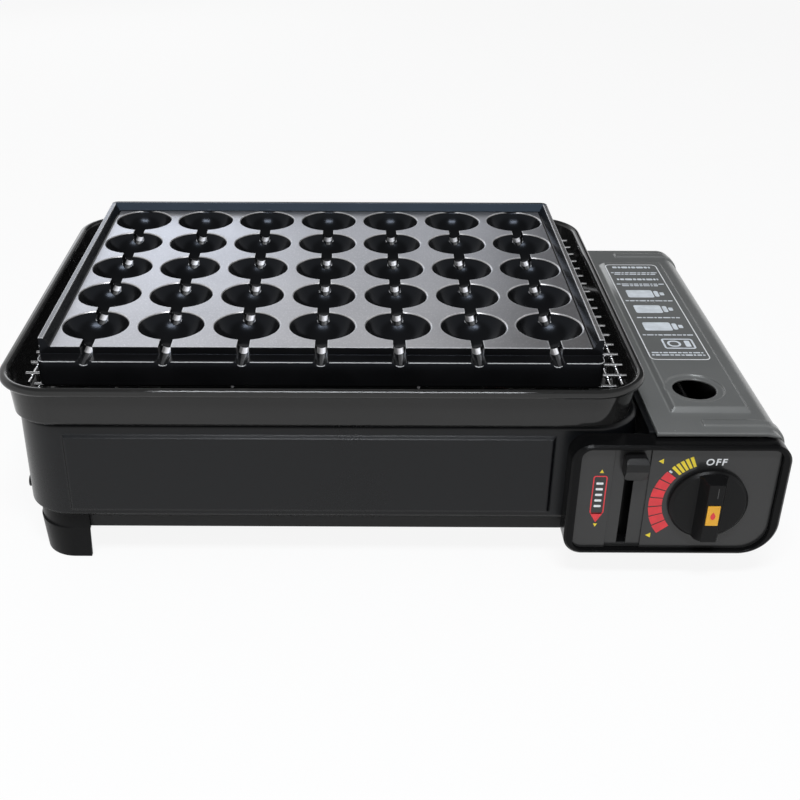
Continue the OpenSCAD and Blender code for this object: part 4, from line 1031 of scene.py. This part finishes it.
@dataclass
class ControlPanel:
    """Prints of the control face: the dial's bars, the off mark, the lever's signs."""

    # Dial round the knob: radii, then angles in degrees
    inner: float = 27.0 * MM
    outer: float = 34.2 * MM
    growth: float = 0.25 * MM
    low_start: float = 111.5
    low_bars: int = 5
    low_pitch: float = 5.1
    low_width: float = 3.5
    high_start: float = 141.0
    high_bars: int = 7
    high_end: float = 220.5
    high_gap: float = 1.4
    # Patch between the two rows of bars
    patch_gap: float = 1.0
    patch_width: float = 2.2
    patch_inset: float = 0.6 * MM
    patch_depth: float = 2.0 * MM
    # Word over the knob
    off_x: float = 190.1 * MM
    off_z: float = 83.4 * MM
    off_size: float = 6.2 * MM
    off_slant: float = 0.12
    off_weight: float = 0.13 * MM
    off_spread: float = 1.22
    # Place, direction in degrees and radius of each triangle, lengths in millimetres
    triangles: Tuple[Tuple[float, float, float, float], ...] = (
        (158.3, 84.1, 180.0, 2.0),
        (156.9, 31.4, 180.0, 2.0),
        (123.9, 76.6, 90.0, 1.5),
        (123.5, 39.0, 270.0, 1.5),
    )
    # Cartridge sign: its shell, its neck and the bars in it
    sign_x: float = 123.5 * MM
    shell_z: float = 60.3 * MM
    shell_width: float = 8.4 * MM
    shell_length: float = 27.0 * MM
    shell_corner: float = 1.6 * MM
    shell_line: float = 0.7 * MM
    neck_z: float = 45.2 * MM
    neck_radius: float = 4.6 * MM
    bar_count: int = 5
    bar_z: float = 52.4 * MM
    bar_pitch: float = 4.0 * MM
    bar_width: float = 4.2 * MM
    bar_length: float = 1.5 * MM
    bar_corner: float = 0.5 * MM

    @property
    def face_y(self) -> float:
        """Front of the face."""
        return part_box("control_face")[0].y

    def build(self) -> None:
        """Lays all the prints."""
        self.dial()
        self.off_mark()
        self.arrows()
        self.canister_sign()

    def lay(self, name: str, ink: Finish, pieces: Sequence[bpy.types.Object], x: float, z: float) -> None:
        """Lays one print on the face.

        Args:
            name: name of the print.
            ink: its ink.
            pieces: its flat pieces.
            x: place of the bench's origin across the face.
            z: its height.
        """
        seat = front_seat(x, self.face_y, z)
        Print(name, "body", Slot.FACE_PLASTIC, ink, seat).lay(pieces)

    def dial(self) -> None:
        """Bars of the flame's size round the knob."""
        yellow = []
        for index in range(self.low_bars):
            start = self.low_start + index * self.low_pitch
            yellow.append(Bench.sector(self.inner, self.outer, start, start + self.low_width))
        self.lay("dial_low_bars", YELLOW_INK, yellow, KNOB_X, KNOB_Z)
        start = self.low_start + self.low_bars * self.low_pitch + self.patch_gap
        rim = self.outer - self.patch_inset
        patch = Bench.sector(rim - self.patch_depth, rim, start, start + self.patch_width)
        self.lay("dial_divider", PALE_INK, [patch], KNOB_X, KNOB_Z)
        red = []
        step = (self.high_end - self.high_start) / self.high_bars
        for index in range(self.high_bars):
            start = self.high_start + index * step
            outer = self.outer + self.growth * index
            red.append(Bench.sector(self.inner, outer, start, start + step - self.high_gap))
        self.lay("dial_high_bars", RED_INK, red, KNOB_X, KNOB_Z)

    def off_mark(self) -> None:
        """Word over the knob's rest place."""
        letters = Bench.words("OFF", self.off_size, self.off_slant, self.off_weight, self.off_spread)
        self.lay("off_mark", WHITE_INK, [letters], self.off_x, self.off_z)

    def arrows(self) -> None:
        """Triangles at the ends of the dial and of the lever's way."""
        made = []
        for x, z, turn, radius in self.triangles:
            made.append(Bench.lift(Bench.point(radius * MM, turn), x * MM, z * MM))
        self.lay("arrow_marks", YELLOW_INK, made, 0.0, 0.0)

    def canister_sign(self) -> None:
        """Outline of a cartridge beside the lever."""
        shell = Bench.outline(self.shell_width, self.shell_length, self.shell_corner, self.shell_line)
        red = [Bench.lift(shell, self.sign_x, self.shell_z)]
        red.append(Bench.lift(Bench.point(self.neck_radius, 270.0), self.sign_x, self.neck_z))
        self.lay("canister_sign", RED_INK, red, 0.0, 0.0)
        bars = []
        for index in range(self.bar_count):
            bar = Bench.bar(self.bar_width, self.bar_length, self.bar_corner)
            bars.append(Bench.lift(bar, self.sign_x, self.bar_z + self.bar_pitch * index))
        self.lay("canister_sign_bars", WHITE_INK, bars, 0.0, 0.0)


@dataclass
class KnobMarks:
    """Marks on the turning knob: its pointer line and the flame on its insert."""

    # Pointer line, placed from the knob's axis
    line_x: float = 1.0 * MM
    line_z: float = 14.5 * MM
    line_width: float = 0.45 * MM
    line_length: float = 7.0 * MM
    line_corner: float = 0.2 * MM
    flame_width: float = 3.0 * MM
    flame_length: float = 5.2 * MM

    def build(self) -> None:
        """Lays both marks."""
        low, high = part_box("knob_insert")
        line = Bench.bar(self.line_width, self.line_length, self.line_corner)
        seat = front_seat(KNOB_X + self.line_x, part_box("knob")[0].y, KNOB_Z + self.line_z)
        Print("pointer_line", "knob", Slot.KNOB_PLASTIC, GREY_INK, seat).lay([line])
        middle = (low + high) / 2
        flame = Bench.drop(self.flame_width, self.flame_length)
        seat = front_seat(middle.x, low.y, middle.z)
        Print("flame_sign", "knob", Slot.INSERT_PLASTIC, RED_INK, seat).lay([flame])


@dataclass
class CoverLabel:
    """Printed frame on the cover's raised middle, with rows of dashes and plain shapes in it."""

    x: float = 190.2 * MM
    y: float = 34.6 * MM
    width: float = 39.5 * MM
    length: float = 163.0 * MM
    corner: float = 4.0 * MM
    line: float = 0.7 * MM
    gap: float = 0.7 * MM
    shortest: float = 1.0 * MM
    round_share: float = 0.25
    # Lengths of the dashes, in millimetres
    dashes: Tuple[float, ...] = (3.4, 2.1, 4.6, 1.7, 3.0, 5.2, 2.4)
    # Place along the cover, width and height of each row, in millimetres
    rows: Tuple[Point, ...] = (
        (110.5, 29.0, 3.2), (100.0, 35.0, 1.5), (97.0, 31.0, 1.5), (87.0, 31.0, 3.0),
        (78.0, 35.0, 1.5), (75.0, 28.0, 1.5), (47.5, 34.0, 1.5), (18.5, 30.0, 1.5),
        (-9.5, 34.0, 1.5), (-36.5, 34.0, 1.5), (-40.0, 35.0, 1.5),
    )
    # Places of the cartridges and of the cooker: across from the label, and along, in millimetres
    cans: Tuple[Tuple[float, float], ...] = ((-1.0, 60.0), (-1.0, 33.0), (-1.0, 4.0))
    stove: Tuple[float, float] = (4.0, -23.0)
    # Width, length, corner, line (0 for a full bar) and shift across of the pieces, in millimetres
    can_pieces: Tuple[Tuple[float, ...], ...] = (
        (19.0, 13.0, 1.6, 0.0, -3.0),
        (3.2, 10.0, 1.4, 0.0, 9.0),
        (3.0, 5.0, 0.8, 0.0, 13.0),
    )
    stove_pieces: Tuple[Tuple[float, ...], ...] = (
        (21.0, 15.0, 2.0, 1.3, 0.0),
        (9.0, 9.0, 4.0, 1.5, -3.0),
        (3.6, 9.0, 0.8, 0.0, 6.0),
    )

    def build(self) -> None:
        """Lays the frame, the rows and the shapes."""
        border = Bench.outline(self.width, self.length, self.corner, self.line)
        self.lay("label_frame", WHITE_INK, [Bench.lift(border, self.x, self.y)])
        pieces = []
        for index, (y, width, height) in enumerate(self.rows):
            pieces += self.row(y * MM, width * MM, height * MM, index)
        self.lay("label_rows", PALE_INK, pieces)
        shapes = []
        for place in self.cans:
            shapes += self.shape(self.can_pieces, place)
        shapes += self.shape(self.stove_pieces, self.stove)
        self.lay("label_shapes", PALE_INK, shapes)

    def lay(self, name: str, ink: Finish, pieces: Sequence[bpy.types.Object]) -> None:
        """Lays one print on the cover."""
        seat = top_seat(0.0, 0.0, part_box("canister_cover")[1].z)
        Print(name, "cover", Slot.COVER_PAINT, ink, seat).lay(pieces)

    def row(self, y: float, width: float, height: float, start: int) -> List[bpy.types.Object]:
        """A row of dashes across the label.

        Args:
            y: place of the row.
            width: its whole width.
            height: height of a dash.
            start: dash length that it begins with.

        Returns:
            The dashes.
        """
        made = []
        left = self.x - width / 2
        edge = left
        index = start
        while edge < left + width - self.shortest:
            length = min(self.dashes[index % len(self.dashes)] * MM, left + width - edge)
            dash = Bench.bar(length, height, self.round_share * height)
            made.append(Bench.lift(dash, edge + length / 2, y))
            edge += length + self.gap
            index += 1
        return made

    def shape(self, sizes: Sequence[Sequence[float]], place: Sequence[float]) -> List[bpy.types.Object]:
        """Bars and frames of one shape.

        Args:
            sizes: width, length, corner, line and shift of each piece.
            place: place of the shape.

        Returns:
            The pieces.
        """
        made = []
        for width, length, corner, line, shift in sizes:
            size = (width * MM, length * MM, corner * MM)
            piece = Bench.outline(*size, line * MM) if line > 0.0 else Bench.bar(*size)
            made.append(Bench.lift(piece, self.x + (place[0] + shift) * MM, place[1] * MM))
        return made


def main() -> None:
    """Builds the studio and dresses the part, one sub-assembly after another."""
    logging.basicConfig(level=logging.INFO, format="%(message)s")
    bpy.context.scene.view_settings.view_transform = "Standard"
    Studio().build()
    Dressing(FINISHES).dress()
    for assembly in (ControlPanel(), KnobMarks(), CoverLabel()):
        assembly.build()
        LOG.info("built %s", type(assembly).__name__)


if __name__ == "__main__":
    main()
